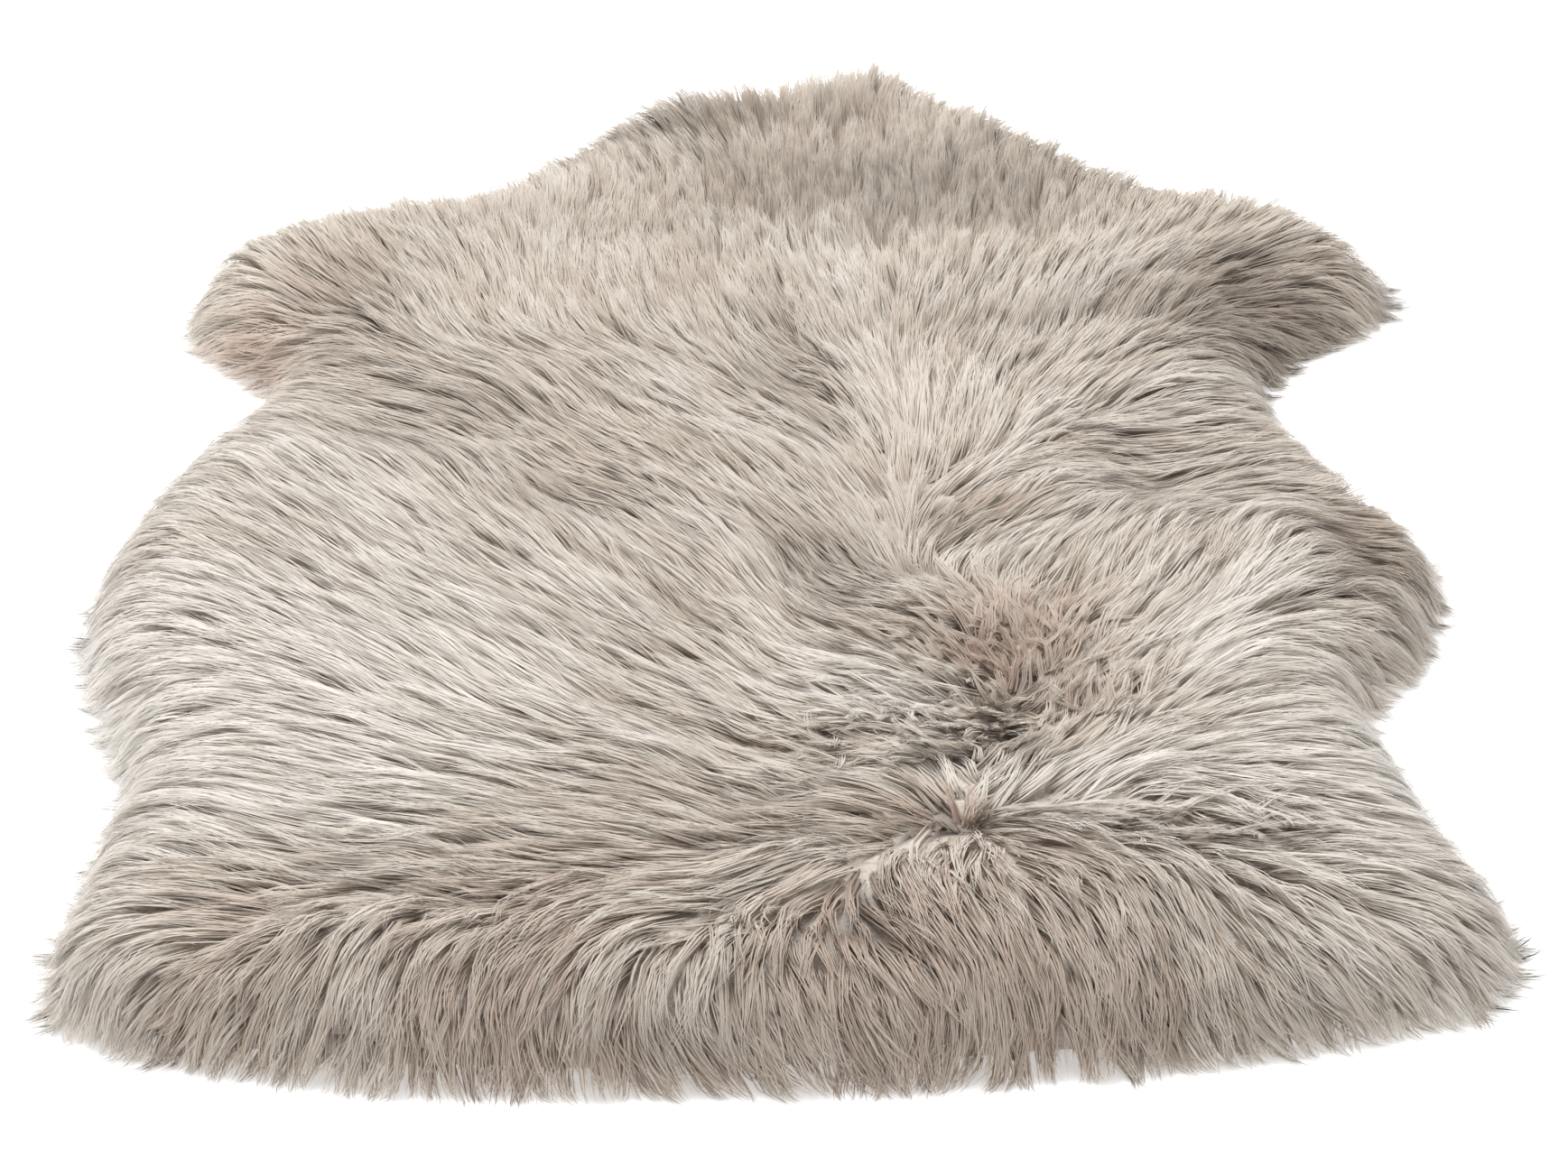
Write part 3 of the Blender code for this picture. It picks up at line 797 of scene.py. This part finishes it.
class Locks:
    """The middle line of every lock from root to tip, with its sideways and outward directions."""

    def __init__(self, random, envelope, wool):
        relief = Relief(random, envelope, wool)
        self.roots = spread_roots(random, envelope, wool.lock_spacing)
        count = len(self.roots)
        self.crimp = crimp = crimp_at(self.roots)
        self.wisps = wisps = np.maximum(envelope.wisps.at(self.roots), np.clip(WISPS_IN_CRIMP * crimp, 0, 1))
        self.near_rim = envelope.near_rim(self.roots)
        low, high = envelope.low, envelope.high
        swing = noise_field(random, low, high, SWING_SPACING, SWING).at(self.roots)
        swing += trait("swing", wisps, crimp) * random.standard_normal(count)
        curl = noise_field(random, low, high, CURL_SPACING, 1.0).at(self.roots)
        curl = wool.curl * trait("curl", wisps, crimp) * (curl + CURL_SPREAD * random.standard_normal(count))
        slack = np.clip(1 + LEAN_SPREAD * random.standard_normal(count), *LEAN_SLACK)
        lean = np.clip(np.linalg.norm(envelope.flow(self.roots), axis=1) * slack, *LEAN_RANGE)
        length = wool.lock_length * np.clip(1 + LENGTH_SPREAD * random.standard_normal(count), *LENGTH_SLACK)
        length *= (STANDING_LENGTH + LYING_LENGTH * lean**2) * trait("length", wisps, crimp)
        at_rim = RIM_LENGTH + wool.long_rim * np.clip(1 + envelope.outward(self.roots)[:, 1], 0, 1)
        length *= 1 - (1 - at_rim) * self.near_rim
        self.standing = standing = np.clip((1 - lean) / (1 - STANDING_LEAN), 0, 1)
        deeper = (wool.deepest_start - wool.start_depth) * standing * (1 - CRIMP_SHALLOWS * crimp)
        depth = wool.start_depth + deeper
        bend = LYING_BEND - STANDING_BEND * standing
        rise = RISE_SPREAD * trait("rise", wisps, crimp) * random.standard_normal(count)
        bunch, number = nearest_bunch(random, self.roots, envelope, wool.bunch_spacing)
        of_bunch = random.standard_normal((2, number.max() + 1))[:, number]
        rise += wool.bunch_rise * of_bunch[0] * trait("bunch rise", wisps, crimp)
        self.tone = TONE_SPREAD * of_bunch[1] * trait("bunch tone", wisps, crimp)
        self.tone += noise_field(random, low, high, TONE_SPACING, TONE_DRIFT).at(self.roots)
        bunching = wool.bunching * trait("bunching", wisps, crimp) * trait("loose bunching", wisps, crimp)
        draw = (bunch - self.roots) * bunching[:, None]
        turns = TURNS + TURNS_SPREAD * random.random(count) + TURNS_IN_CRIMP * crimp
        phase = random.random(count) * 2 * math.pi
        wave = wool.crimp_reach * trait("winding", wisps, crimp)
        lift = wool.tip_lift * trait("tip lift", wisps, crimp)
        spot, points, sides, outs, shines = self.roots.copy(), [], [], [], []
        for step in range(PATH_STEPS + 1):
            s = step / PATH_STEPS
            normal = envelope.normals(spot)
            way = turned(unit(envelope.flow(spot)), swing + curl * (s - CURL_START))
            heading = np.concatenate([way, np.zeros((count, 1))], 1)
            tangent = unit(heading - (heading * normal).sum(1, keepdims=True) * normal)
            side = np.cross(tangent, normal)
            moved = spot + draw * s**DRAWING_PATH
            below = depth * (1 - s) ** bend - lift * s**LIFT_PATH - rise - relief.height.at(moved)
            surface = np.concatenate([moved, envelope.height.at(moved)[:, None]], 1)
            angle = turns * 2 * math.pi * s + phase
            sway = side * np.sin(angle)[:, None] + WINDING_UP * normal * np.cos(angle)[:, None]
            points.append(surface - normal * below[:, None] + sway * (wave * s**WINDING_PATH)[:, None])
            sides.append(side)
            outs.append(normal)
            slope = np.stack([relief.slope_x.at(moved), relief.slope_y.at(moved), np.zeros(count)], 1)
            upright = RIM_LIGHT * self.near_rim[:, None] * (0.0, 0.0, 1.0)
            shines.append(unit(normal - RELIEF_SHADING * slope + upright))
            spot = spot + tangent[:, :2] * (length * lean / PATH_STEPS)[:, None]
        paths = (np.stack(rows, 1) for rows in (points, sides, outs, shines))
        self.points, self.sides, self.outs, shines = paths
        self.seen = self.points[:, SEEN_STEP, :2]
        self.fold = relief.fold.at(self.seen)
        along = unit(np.gradient(self.points, axis=1))
        self.shines = unit(shines - FIBRE_SHADING * (shines * along).sum(2, keepdims=True) * along)


def along_path(paths, lock, place):
    """The point of each lock's line at a place from 0 to 1 along it."""
    spot = np.clip(place, 0, LAST_PLACE) * PATH_STEPS
    before = spot.astype(int)
    part = (spot - before)[:, None]
    return paths[lock, before] * (1 - part) + paths[lock, before + 1] * part


class Fibres:
    """The ribbons of some of the locks: their two edges at each stop, and their shade."""

    def __init__(self, random, locks, chosen, stops, wool):
        own = np.repeat(chosen, wool.fibres_per_lock)
        count = len(own)
        self.stops = stops
        self.place = locks.roots[own]
        wisps, crimp, near_rim = locks.wisps[own], locks.crimp[own], locks.near_rim[own]
        angle = random.random(count) * 2 * math.pi
        radius = wool.lock_radius * trait("radius", wisps, crimp) * np.sqrt(random.random(count))
        across, outward = radius * np.cos(angle), FLATNESS * radius * np.sin(angle)
        shorter = (SHORTEST + SHORTEST_AT_RIM * near_rim) * trait("shorter fibres", wisps, crimp)
        reach = 1 - shorter * random.random(count)
        stray = random.random(count) < STRAYS + STRAYS_AT_RIM * near_rim
        drawn = wool.drawing_in * (1 - (1 - wisps) * random.random(count))
        drawn = np.where(stray, STRAY_DRAWING, drawn + (CRIMPED_DRAWING - drawn) * crimp)
        wander = random.standard_normal((count, 2)) * np.where(stray, STRAY_WANDER, WANDER)[:, None]
        roll = wool.roll * random.standard_normal(count)
        width = wool.fibre_width * (THINNEST + WIDTH_SPREAD * random.random(count))
        width *= np.where(stray, STRAY_WIDTH, 1.0)
        tilt = wool.uneven_shine * trait("shine", wisps, crimp) * random.standard_normal(count)
        lefts, rights, faces = [], [], []
        for stop in stops:
            place = stop * reach
            side = along_path(locks.sides, own, place)
            out = along_path(locks.outs, own, place)
            faces.append(unit(along_path(locks.shines, own, place) + tilt[:, None] * side))
            spread = 1 - drawn * place**DRAWING_IN_PATH
            middle = along_path(locks.points, own, place)
            middle = middle + side * (across * spread + wander[:, 0] * place**2)[:, None]
            middle = middle + out * (outward * spread + FLAT_WANDER * wander[:, 1] * place**2)[:, None]
            half = width / 2 * (1 - stop) ** TAPER
            flat = side * np.cos(roll)[:, None] + out * np.sin(roll)[:, None]
            for row, sign in ((lefts, -1), (rights, 1)):
                edge = middle + sign * flat * half[:, None]
                edge[:, 2] = np.maximum(edge[:, 2], FLOOR_GAP)
                row.append(edge)
        self.lefts, self.rights, self.faces = (np.stack(rows, 1) for rows in (lefts, rights, faces))
        seen, fold = locks.seen[own], locks.fold[own]
        of_lock = trait("lock's tone", locks.wisps, locks.crimp) * random.standard_normal(len(locks.roots))
        shade = USUAL_SHADE + locks.tone[own] + of_lock[own]
        shade += trait("fibre's tone", wisps, crimp) * random.standard_normal(count)
        # Browner for stains and for painted shade, paler for painted light
        shade += STAIN_AND_SHADE_STRENGTH * patch_strength(seen, STAINS_AND_SHADE) - patch_strength(seen, PALE_AND_LIT_PLACES)
        # Paler on the wisps' tops and browner in their furrows: painted light and shade
        shade += CRIMP_SHADE * crimp - FOLD_SHADE * fold
        self.shade = np.clip(shade, *SHADE_RANGE)
        # Painted shade: darker roots and tips in hollows and furrows, where the wool stands and where it
        # forms wisps; paler roots out in the light
        hollow = oval_strengths(seen, HOLLOWS).sum(0)
        dark = ROOT_REACH + ROOT_IN_WISPS * wisps + ROOT_IN_CRIMP * crimp
        dark += ROOT_IN_STANDING * locks.standing[own]
        dark -= ROOT_ON_FOLDS * fold
        self.painted_root_shade = np.maximum(dark + ROOT_IN_HOLLOWS * hollow, LEAST_ROOT)
        furrow_shade = FURROW_TIP * np.clip(-fold, 0, 1)
        self.tip = 1 - DARK_TIP * np.clip(hollow, 0, DEEPEST_HOLLOW) - furrow_shade


def fibre_mesh(name, fibres, chosen):
    """One mesh of the chosen ribbons, each of four-sided faces and a pointed tip."""
    lefts, rights, shade = fibres.lefts[chosen], fibres.rights[chosen], fibres.shade[chosen]
    count, body = len(shade), len(fibres.stops) - 1
    corners = np.empty((count, 2 * body + 1, 3), np.float32)
    corners[:, 0 : 2 * body : 2] = lefts[:, :body]
    corners[:, 1 : 2 * body : 2] = rights[:, :body]
    corners[:, -1] = (lefts[:, -1] + rights[:, -1]) / 2
    pattern = []
    for k in range(body - 1):
        pattern += [2 * k, 2 * k + 1, 2 * k + 3, 2 * k + 2]
    pattern = np.array(pattern + [2 * body - 2, 2 * body - 1, 2 * body])
    first = np.arange(count) * (2 * body + 1)
    indices = (first[:, None] + pattern[None]).ravel()
    sizes = np.tile([4] * (body - 1) + [3], count)
    mesh = bpy.data.meshes.new(name)
    mesh.vertices.add(count * (2 * body + 1))
    mesh.vertices.foreach_set("co", corners.ravel())
    mesh.loops.add(len(indices))
    mesh.loops.foreach_set("vertex_index", indices.astype(np.int32))
    mesh.polygons.add(len(sizes))
    mesh.polygons.foreach_set("loop_start", (np.cumsum(sizes) - sizes).astype(np.int32))
    along = np.array([fibres.stops[v // 2] for v in range(2 * body)] + [1.0])
    edge = np.array([-1.0, 1.0] * body + [0.0])
    places = np.empty((count, len(pattern), 2), np.float32)
    places[..., 0] = shade[:, None] + HALF_SHADE * edge[pattern][None]
    # Up the map, the painted shade at the roots and the tips
    light = along[pattern][None] ** fibres.painted_root_shade[chosen][:, None]
    places[..., 1] = MAP_EDGE + (1 - 2 * MAP_EDGE) * light * fibres.tip[chosen][:, None]
    mesh.uv_layers.new(name=WOOL_MAP).data.foreach_set("uv", places.ravel())
    mesh.update(calc_edges=True)
    mesh.shade_smooth()
    facing = np.repeat(fibres.faces[chosen], 2, axis=1)[:, : 2 * body + 1]
    mesh.normals_split_custom_set_from_vertices(facing.reshape(-1, 3))
    return mesh


# ---------------------------------------------------------------------------------------------
# Materials


WHITE = (1.0, 1.0, 1.0)
USUAL_PLACE = 0.4  # how far the usual colour lies from the pale one towards the brown one
SHADED_PLACE, CLEAR_PLACE = 0.25, 0.92  # how far up a fibre is shaded, and how far up it no longer is
STREAKS, STREAK_SHADE = (420.0, 2.5, 1.0), 0.90  # how fine they are across and along the map, and how dark
NOISE_RANGE = (0.3, 0.7)  # the noise between its darkest and its lightest grey
FLUFF, FLUFF_SHADE, FLUFF_RANGE = 260.0, 0.80, (0.35, 0.65)
FLUFF_DEPTH = 0.002
COAT_RANGE = (0.3, 0.9)  # how far into painted shade the undercoat keeps its own colour, and where it has the deep wool's painted shade
MOTTLES, MOTTLE_SHADE = 9.0, 0.86  # broad ones on the hide
NAP, NAP_SHADE, NAP_DETAIL = 420.0, 0.88, 4.0
NAP_DEPTH, NAP_STRENGTH = 0.0006, 0.4


def new_material(name):
    material = bpy.data.materials.new(name)
    material.use_nodes = True
    tree = material.node_tree
    return material, tree, tree.nodes["Principled BSDF"]


def add_node(tree, kind, **settings):
    node = tree.nodes.new(kind)
    for key, value in settings.items():
        setattr(node, key, value)
    return node


def colour_ramp(tree, source, stops):
    ramp = add_node(tree, "ShaderNodeValToRGB")
    while len(ramp.color_ramp.elements) < len(stops):
        ramp.color_ramp.elements.new(0.5)
    for element, (position, value) in zip(ramp.color_ramp.elements, stops):
        element.position = position
        element.color = (*value, 1.0)
    tree.links.new(source, ramp.inputs["Fac"])
    return ramp.outputs["Color"]


def multiplied(tree, first, second):
    mix = add_node(tree, "ShaderNodeMix", data_type="RGBA", blend_type="MULTIPLY")
    mix.inputs["Factor"].default_value = 1.0
    tree.links.new(first, mix.inputs["A"])
    tree.links.new(second, mix.inputs["B"])
    return mix.outputs["Result"]


def add_noise(tree, vector, scale, detail=2.0):
    noise = add_node(tree, "ShaderNodeTexNoise")
    noise.inputs["Scale"].default_value = scale
    noise.inputs["Detail"].default_value = detail
    tree.links.new(vector, noise.inputs["Vector"])
    return noise.outputs["Fac"]


def greyed(tree, noise, darkest, between=NOISE_RANGE):
    """The noise as a shade to multiply a colour by: from a grey to white."""
    return colour_ramp(tree, noise, ((between[0], (darkest,) * 3), (between[1], WHITE)))


def add_bump(tree, height, shader, distance, strength=1.0):
    bump = add_node(tree, "ShaderNodeBump")
    bump.inputs["Strength"].default_value = strength
    bump.inputs["Distance"].default_value = distance
    tree.links.new(height, bump.inputs["Height"])
    tree.links.new(bump.outputs["Normal"], shader.inputs["Normal"])


def wool_material(colours):
    material, tree, shader = new_material("combed wool")
    places = add_node(tree, "ShaderNodeUVMap", uv_map=WOOL_MAP)
    parts = add_node(tree, "ShaderNodeSeparateXYZ")
    tree.links.new(places.outputs["UV"], parts.inputs["Vector"])
    shades = ((0.0, colours.pale), (USUAL_PLACE, colours.usual), (1.0, colours.brown))
    tips = colour_ramp(tree, parts.outputs["X"], shades)
    # Darker towards the roots: painted shade between the fibres
    way_up = ((0.0, colours.root), (SHADED_PLACE, colours.shaded), (CLEAR_PLACE, WHITE))
    roots = colour_ramp(tree, parts.outputs["Y"], way_up)
    streaks = add_node(tree, "ShaderNodeMapping")
    streaks.inputs["Scale"].default_value = STREAKS
    tree.links.new(places.outputs["UV"], streaks.inputs["Vector"])
    fine = greyed(tree, add_noise(tree, streaks.outputs["Vector"], 1.0), STREAK_SHADE)
    result = multiplied(tree, multiplied(tree, tips, roots), fine)
    tree.links.new(result, shader.inputs["Base Color"])
    shader.inputs["Roughness"].default_value = 0.62
    shader.inputs["Specular IOR Level"].default_value = 0.35
    shader.inputs["Sheen Weight"].default_value = 0.35
    shader.inputs["Sheen Roughness"].default_value = 0.45
    return material


def undercoat_material(colours):
    material, tree, shader = new_material("undercoat")
    place = add_node(tree, "ShaderNodeTexCoord")
    noise = add_noise(tree, place.outputs["Object"], FLUFF)
    fluff = greyed(tree, noise, FLUFF_SHADE, FLUFF_RANGE)
    # The undercoat turns towards the deep wool's colour as painted shade
    depth = add_node(tree, "ShaderNodeAttribute", attribute_name=DEEP_SHADE_NAME)
    way_down = zip(COAT_RANGE, (colours.undercoat, colours.deep_shade))
    coat = colour_ramp(tree, depth.outputs["Fac"], tuple(way_down))
    tree.links.new(multiplied(tree, coat, fluff), shader.inputs["Base Color"])
    add_bump(tree, noise, shader, FLUFF_DEPTH)
    shader.inputs["Roughness"].default_value = 0.95
    return material


def hide_material(colours):
    material, tree, shader = new_material("tanned hide")
    place = add_node(tree, "ShaderNodeTexCoord")
    broad = greyed(tree, add_noise(tree, place.outputs["Object"], MOTTLES), MOTTLE_SHADE)
    nap = greyed(tree, add_noise(tree, place.outputs["Object"], NAP, NAP_DETAIL), NAP_SHADE)
    plain = add_node(tree, "ShaderNodeRGB")
    plain.outputs["Color"].default_value = (*colours.hide, 1.0)
    result = multiplied(tree, multiplied(tree, plain.outputs["Color"], broad), nap)
    tree.links.new(result, shader.inputs["Base Color"])
    add_bump(tree, nap, shader, NAP_DEPTH, NAP_STRENGTH)
    shader.inputs["Roughness"].default_value = 0.85
    return material


# ---------------------------------------------------------------------------------------------
# Sheets


def inset_ring(ring, distance):
    """The ring again, each corner moved straight inwards."""
    along = np.roll(ring, -1, axis=0) - np.roll(ring, 1, axis=0)
    inward = unit(np.stack([-along[:, 1], along[:, 0]], 1))
    return ring + inward * distance


def spread_sheet(name, ring, rings):
    """A flat sheet over the ring, as rings of faces round a poked middle."""
    bpy.ops.object.select_all(action="DESELECT")
    bpy.ops.mesh.primitive_circle_add(vertices=len(ring), radius=1.0, fill_type="NOTHING")
    sheet = bpy.context.object
    sheet.name = sheet.data.name = name
    for vertex, (x, y) in zip(sheet.data.vertices, MIDDLE + (ring - MIDDLE) / rings):
        vertex.co = (x, y, 0.0)
    bpy.ops.object.mode_set(mode="EDIT")
    bpy.ops.mesh.select_all(action="SELECT")
    for step in range(1, rings):
        grown = (step + 1) / step
        bpy.ops.mesh.extrude_edges_move()
        bpy.ops.transform.resize(value=(grown, grown, 1.0), center_override=(*MIDDLE, 0.0))
    bpy.ops.mesh.select_all(action="DESELECT")
    bpy.ops.object.mode_set(mode="OBJECT")
    for vertex in sheet.data.vertices[: len(ring)]:
        vertex.select = True
    bpy.ops.object.mode_set(mode="EDIT")
    bpy.ops.mesh.select_mode(type="VERT")
    bpy.ops.mesh.edge_face_add()
    bpy.ops.mesh.poke()
    bpy.ops.mesh.select_all(action="SELECT")
    bpy.ops.mesh.normals_make_consistent(inside=False)
    bpy.ops.object.mode_set(mode="OBJECT")
    if sheet.data.polygons[0].normal.z < 0:
        sheet.data.flip_normals()
    return sheet


def grounded(piece):
    """The piece's corners, moved so that it stands on the floor."""
    corners = np.array([v.co for v in piece.data.vertices])
    corners[:, 2] -= corners[:, 2].min()
    return corners.ravel()


def thicken(sheet, thickness, offset):
    solidify = sheet.modifiers.new("thickness", "SOLIDIFY")
    solidify.thickness = thickness
    solidify.offset = offset
    bpy.ops.object.select_all(action="DESELECT")
    sheet.select_set(True)
    bpy.context.view_layer.objects.active = sheet
    bpy.ops.object.modifier_apply(modifier=solidify.name)
    sheet.data.shade_smooth()


# ---------------------------------------------------------------------------------------------
# Operators

made = {}


def envelope_of_wool():
    if "envelope" not in made:
        made["envelope"] = Envelope(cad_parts[NODE])
    return made["envelope"]


class RUG_OT_lay_hide(bpy.types.Operator):
    """Lay the tanned hide flat on the floor"""

    bl_idname = "rug.lay_hide"
    bl_label = "Lay the hide"

    def execute(self, context):
        settings = context.scene.rug_hide
        envelope = envelope_of_wool()
        ring = inset_ring(envelope.rim, settings.inset)
        hide = spread_sheet("hide", ring, HIDE_RINGS)
        thicken(hide, settings.thickness, 1.0)
        hide.data.vertices.foreach_set("co", grounded(hide))
        hide.data.materials.append(hide_material(context.scene.rug_colours))
        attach(hide, BODY)
        made["hide"] = hide
        made["hide_ring"] = ring
        return {"FINISHED"}


class RUG_OT_spread_undercoat(bpy.types.Operator):
    """Spread the dense undercoat that fills the room between the hide and the locks"""

    bl_idname = "rug.spread_undercoat"
    bl_label = "Spread the undercoat"

    def execute(self, context):
        settings = context.scene.rug_hide
        envelope = envelope_of_wool()
        ring = inset_ring(envelope.rim, settings.undercoat_inset)
        coat = spread_sheet("undercoat", ring, UNDERCOAT_RINGS)
        flat = np.array([v.co[:2] for v in coat.data.vertices])
        normal = envelope.normals(flat)
        lifted = np.concatenate([flat, envelope.height.at(flat)[:, None]], 1)
        standing = envelope.standing(flat) * (1 - CRIMP_SHALLOWS * crimp_at(flat))
        depth = settings.undercoat_depth + settings.standing_depth * standing
        depth += settings.whorl_depth * whorl_strength(flat)
        lifted -= normal * depth[:, None]
        foot = settings.undercoat_wall + FLOOR_GAP
        at_edge = envelope.depth_in.at(flat) < settings.undercoat_inset + UNDERCOAT_HEM
        lifted[:, 2] = np.where(at_edge, foot, np.maximum(lifted[:, 2], foot))
        for vertex, point in zip(coat.data.vertices, lifted):
            vertex.co = point
        thicken(coat, settings.undercoat_wall, -1.0)
        for vertex in coat.data.vertices:
            vertex.co.z = max(vertex.co.z, FLOOR_GAP)
        flat = np.array([v.co[:2] for v in coat.data.vertices])
        # Painted shade: the undercoat is darker where the wool stands, crimps, turns out of a whorl, lies in
        # a hollow or nears the rim
        crimp = crimp_at(flat)
        deep_shade = np.maximum(envelope.standing(flat) * (1 - CRIMP_SHALLOWS * crimp), CRIMP_DARKNESS * crimp)
        deep_shade = np.maximum(deep_shade, WHORL_DARKNESS * whorl_strength(flat)) + oval_strengths(flat, HOLLOWS).sum(0)
        deep_shade = np.maximum(deep_shade, RIM_DARKNESS * envelope.near_rim(flat))
        depths = coat.data.attributes.new(DEEP_SHADE_NAME, "FLOAT", "POINT")
        depths.data.foreach_set("value", deep_shade.astype(np.float32))
        coat.data.materials.append(undercoat_material(context.scene.rug_colours))
        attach(coat, BODY)
        made["undercoat"] = coat
        return {"FINISHED"}


# The wool's pieces: name, and the stretch of the rug from rump to neck that each covers
WOOL_PIECES = (
    ("wool_rump", -1.000, -0.400),
    ("wool_thighs", -0.400, -0.270),
    ("wool_loin", -0.270, -0.130),
    ("wool_belly", -0.130, 0.010),
    ("wool_waist", 0.010, 0.150),
    ("wool_shoulders", 0.150, 0.270),
    ("wool_neck", 0.270, 1.000),
)


class RUG_OT_grow_wool(bpy.types.Operator):
    """Grow the combed wool, one mesh of fibres for each stretch of the skin"""

    bl_idname = "rug.grow_wool"
    bl_label = "Grow the wool"

    def execute(self, context):
        wool = context.scene.rug_wool
        random = np.random.default_rng(SEED)
        locks = Locks(random, envelope_of_wool(), wool)
        crimped = locks.crimp > LEAST_CRIMP
        straight = Fibres(random, locks, np.nonzero(~crimped)[0], STRAIGHT_STOPS, wool)
        curly = Fibres(random, locks, np.nonzero(crimped)[0], CRIMPED_STOPS, wool)
        material = wool_material(context.scene.rug_colours)
        place = straight.place[:, 1]
        meshes = []
        for name, start, end in WOOL_PIECES:
            meshes.append(fibre_mesh(name, straight, (place >= start) & (place < end)))
        meshes.append(fibre_mesh("wool_crimped", curly, np.ones(len(curly.place), bool)))
        pieces = []
        for mesh in meshes:
            mesh.materials.append(material)
            piece = bpy.data.objects.new(mesh.name, mesh)
            context.scene.collection.objects.link(piece)
            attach(piece, BODY)
            pieces.append(piece)
        for piece in pieces + [made["undercoat"], made["hide"]]:
            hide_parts(NODE)
        return {"FINISHED"}


FLOOR_HEIGHT = -0.0005
KEY_PLACE, KEY_SIZE = (-0.7, 1.0, 3.2), 2.4
FILL_PLACE, FILL_SIZE = (1.2, -2.0, 1.8), 1.5
TARGET = (0.003, -0.049, 0.0)  # the point the camera looks at
SENSOR_WIDTH = 36.0
FLOOR_WHITE = (0.98, 0.98, 0.98, 1.0)


class RUG_OT_set_stage(bpy.types.Operator):
    """Set the floor, the soft light and the camera"""

    bl_idname = "rug.set_stage"
    bl_label = "Set the stage"

    def execute(self, context):
        stage = context.scene.rug_stage
        bpy.ops.object.select_all(action="DESELECT")
        bpy.ops.mesh.primitive_plane_add(size=stage.floor_size, location=(0.0, 0.0, FLOOR_HEIGHT))
        floor = context.object
        floor.name = "floor"
        material, _, shader = new_material("floor")
        shader.inputs["Base Color"].default_value = FLOOR_WHITE
        shader.inputs["Roughness"].default_value = 0.8
        shader.inputs["Emission Color"].default_value = (*WHITE, 1.0)
        shader.inputs["Emission Strength"].default_value = stage.floor_glow
        floor.data.materials.append(material)
        world = bpy.data.worlds.new("daylight")
        world.use_nodes = True
        background = world.node_tree.nodes["Background"]
        background.inputs["Color"].default_value = (*WHITE, 1.0)
        background.inputs["Strength"].default_value = stage.daylight
        context.scene.world = world
        add_softbox("key light", KEY_PLACE, KEY_SIZE, stage.key_power)
        add_softbox("fill light", FILL_PLACE, FILL_SIZE, stage.fill_power)
        camera = bpy.data.objects.new("camera", bpy.data.cameras.new("camera"))
        context.scene.collection.objects.link(camera)
        back = Vector((0.0, -math.cos(stage.elevation), math.sin(stage.elevation)))
        camera.location = Vector(TARGET) + back * stage.distance
        camera.rotation_euler = (-back).to_track_quat("-Z", "Y").to_euler()
        camera.data.lens = stage.lens
        camera.data.sensor_width = SENSOR_WIDTH
        context.scene.camera = camera
        context.scene.view_settings.view_transform = "Standard"
        return {"FINISHED"}


def add_softbox(name, place, size, power):
    light = bpy.data.lights.new(name, "AREA")
    light.shape = "SQUARE"
    light.size = size
    light.energy = power
    lamp = bpy.data.objects.new(name, light)
    bpy.context.scene.collection.objects.link(lamp)
    lamp.location = place
    lamp.rotation_euler = Vector(place).to_track_quat("Z", "Y").to_euler()


class RUG_PT_sheepskin(bpy.types.Panel):
    """Sizes, colours and steps of the sheepskin rug"""

    bl_label = "Sheepskin rug"
    bl_space_type = "VIEW_3D"
    bl_region_type = "UI"
    bl_category = "Sheepskin"

    def draw(self, context):
        for settings, _ in SETTINGS:
            group = getattr(context.scene, settings)
            box = self.layout.box()
            for name in group.__annotations__:
                box.prop(group, name)
        for step in STEPS:
            self.layout.operator(step.bl_idname)


STEPS = (RUG_OT_lay_hide, RUG_OT_spread_undercoat, RUG_OT_grow_wool, RUG_OT_set_stage)
SETTINGS = (
    ("rug_wool", WoolSettings),
    ("rug_colours", ColourSettings),
    ("rug_hide", HideSettings),
    ("rug_stage", StageSettings),
)


def register():
    for name, group in SETTINGS:
        bpy.utils.register_class(group)
        setattr(bpy.types.Scene, name, bpy.props.PointerProperty(type=group))
    for item in (*STEPS, RUG_PT_sheepskin):
        bpy.utils.register_class(item)


def unregister():
    for item in (RUG_PT_sheepskin, *reversed(STEPS)):
        bpy.utils.unregister_class(item)
    for name, group in reversed(SETTINGS):
        delattr(bpy.types.Scene, name)
        bpy.utils.unregister_class(group)


def plain(box):
    return [[float(x) for x in corner] for corner in box]


def main():
    register()
    bpy.ops.rug.lay_hide()
    bpy.ops.rug.spread_undercoat()
    bpy.ops.rug.grow_wool()
    bpy.ops.rug.set_stage()


if __name__ == "__main__":
    main()
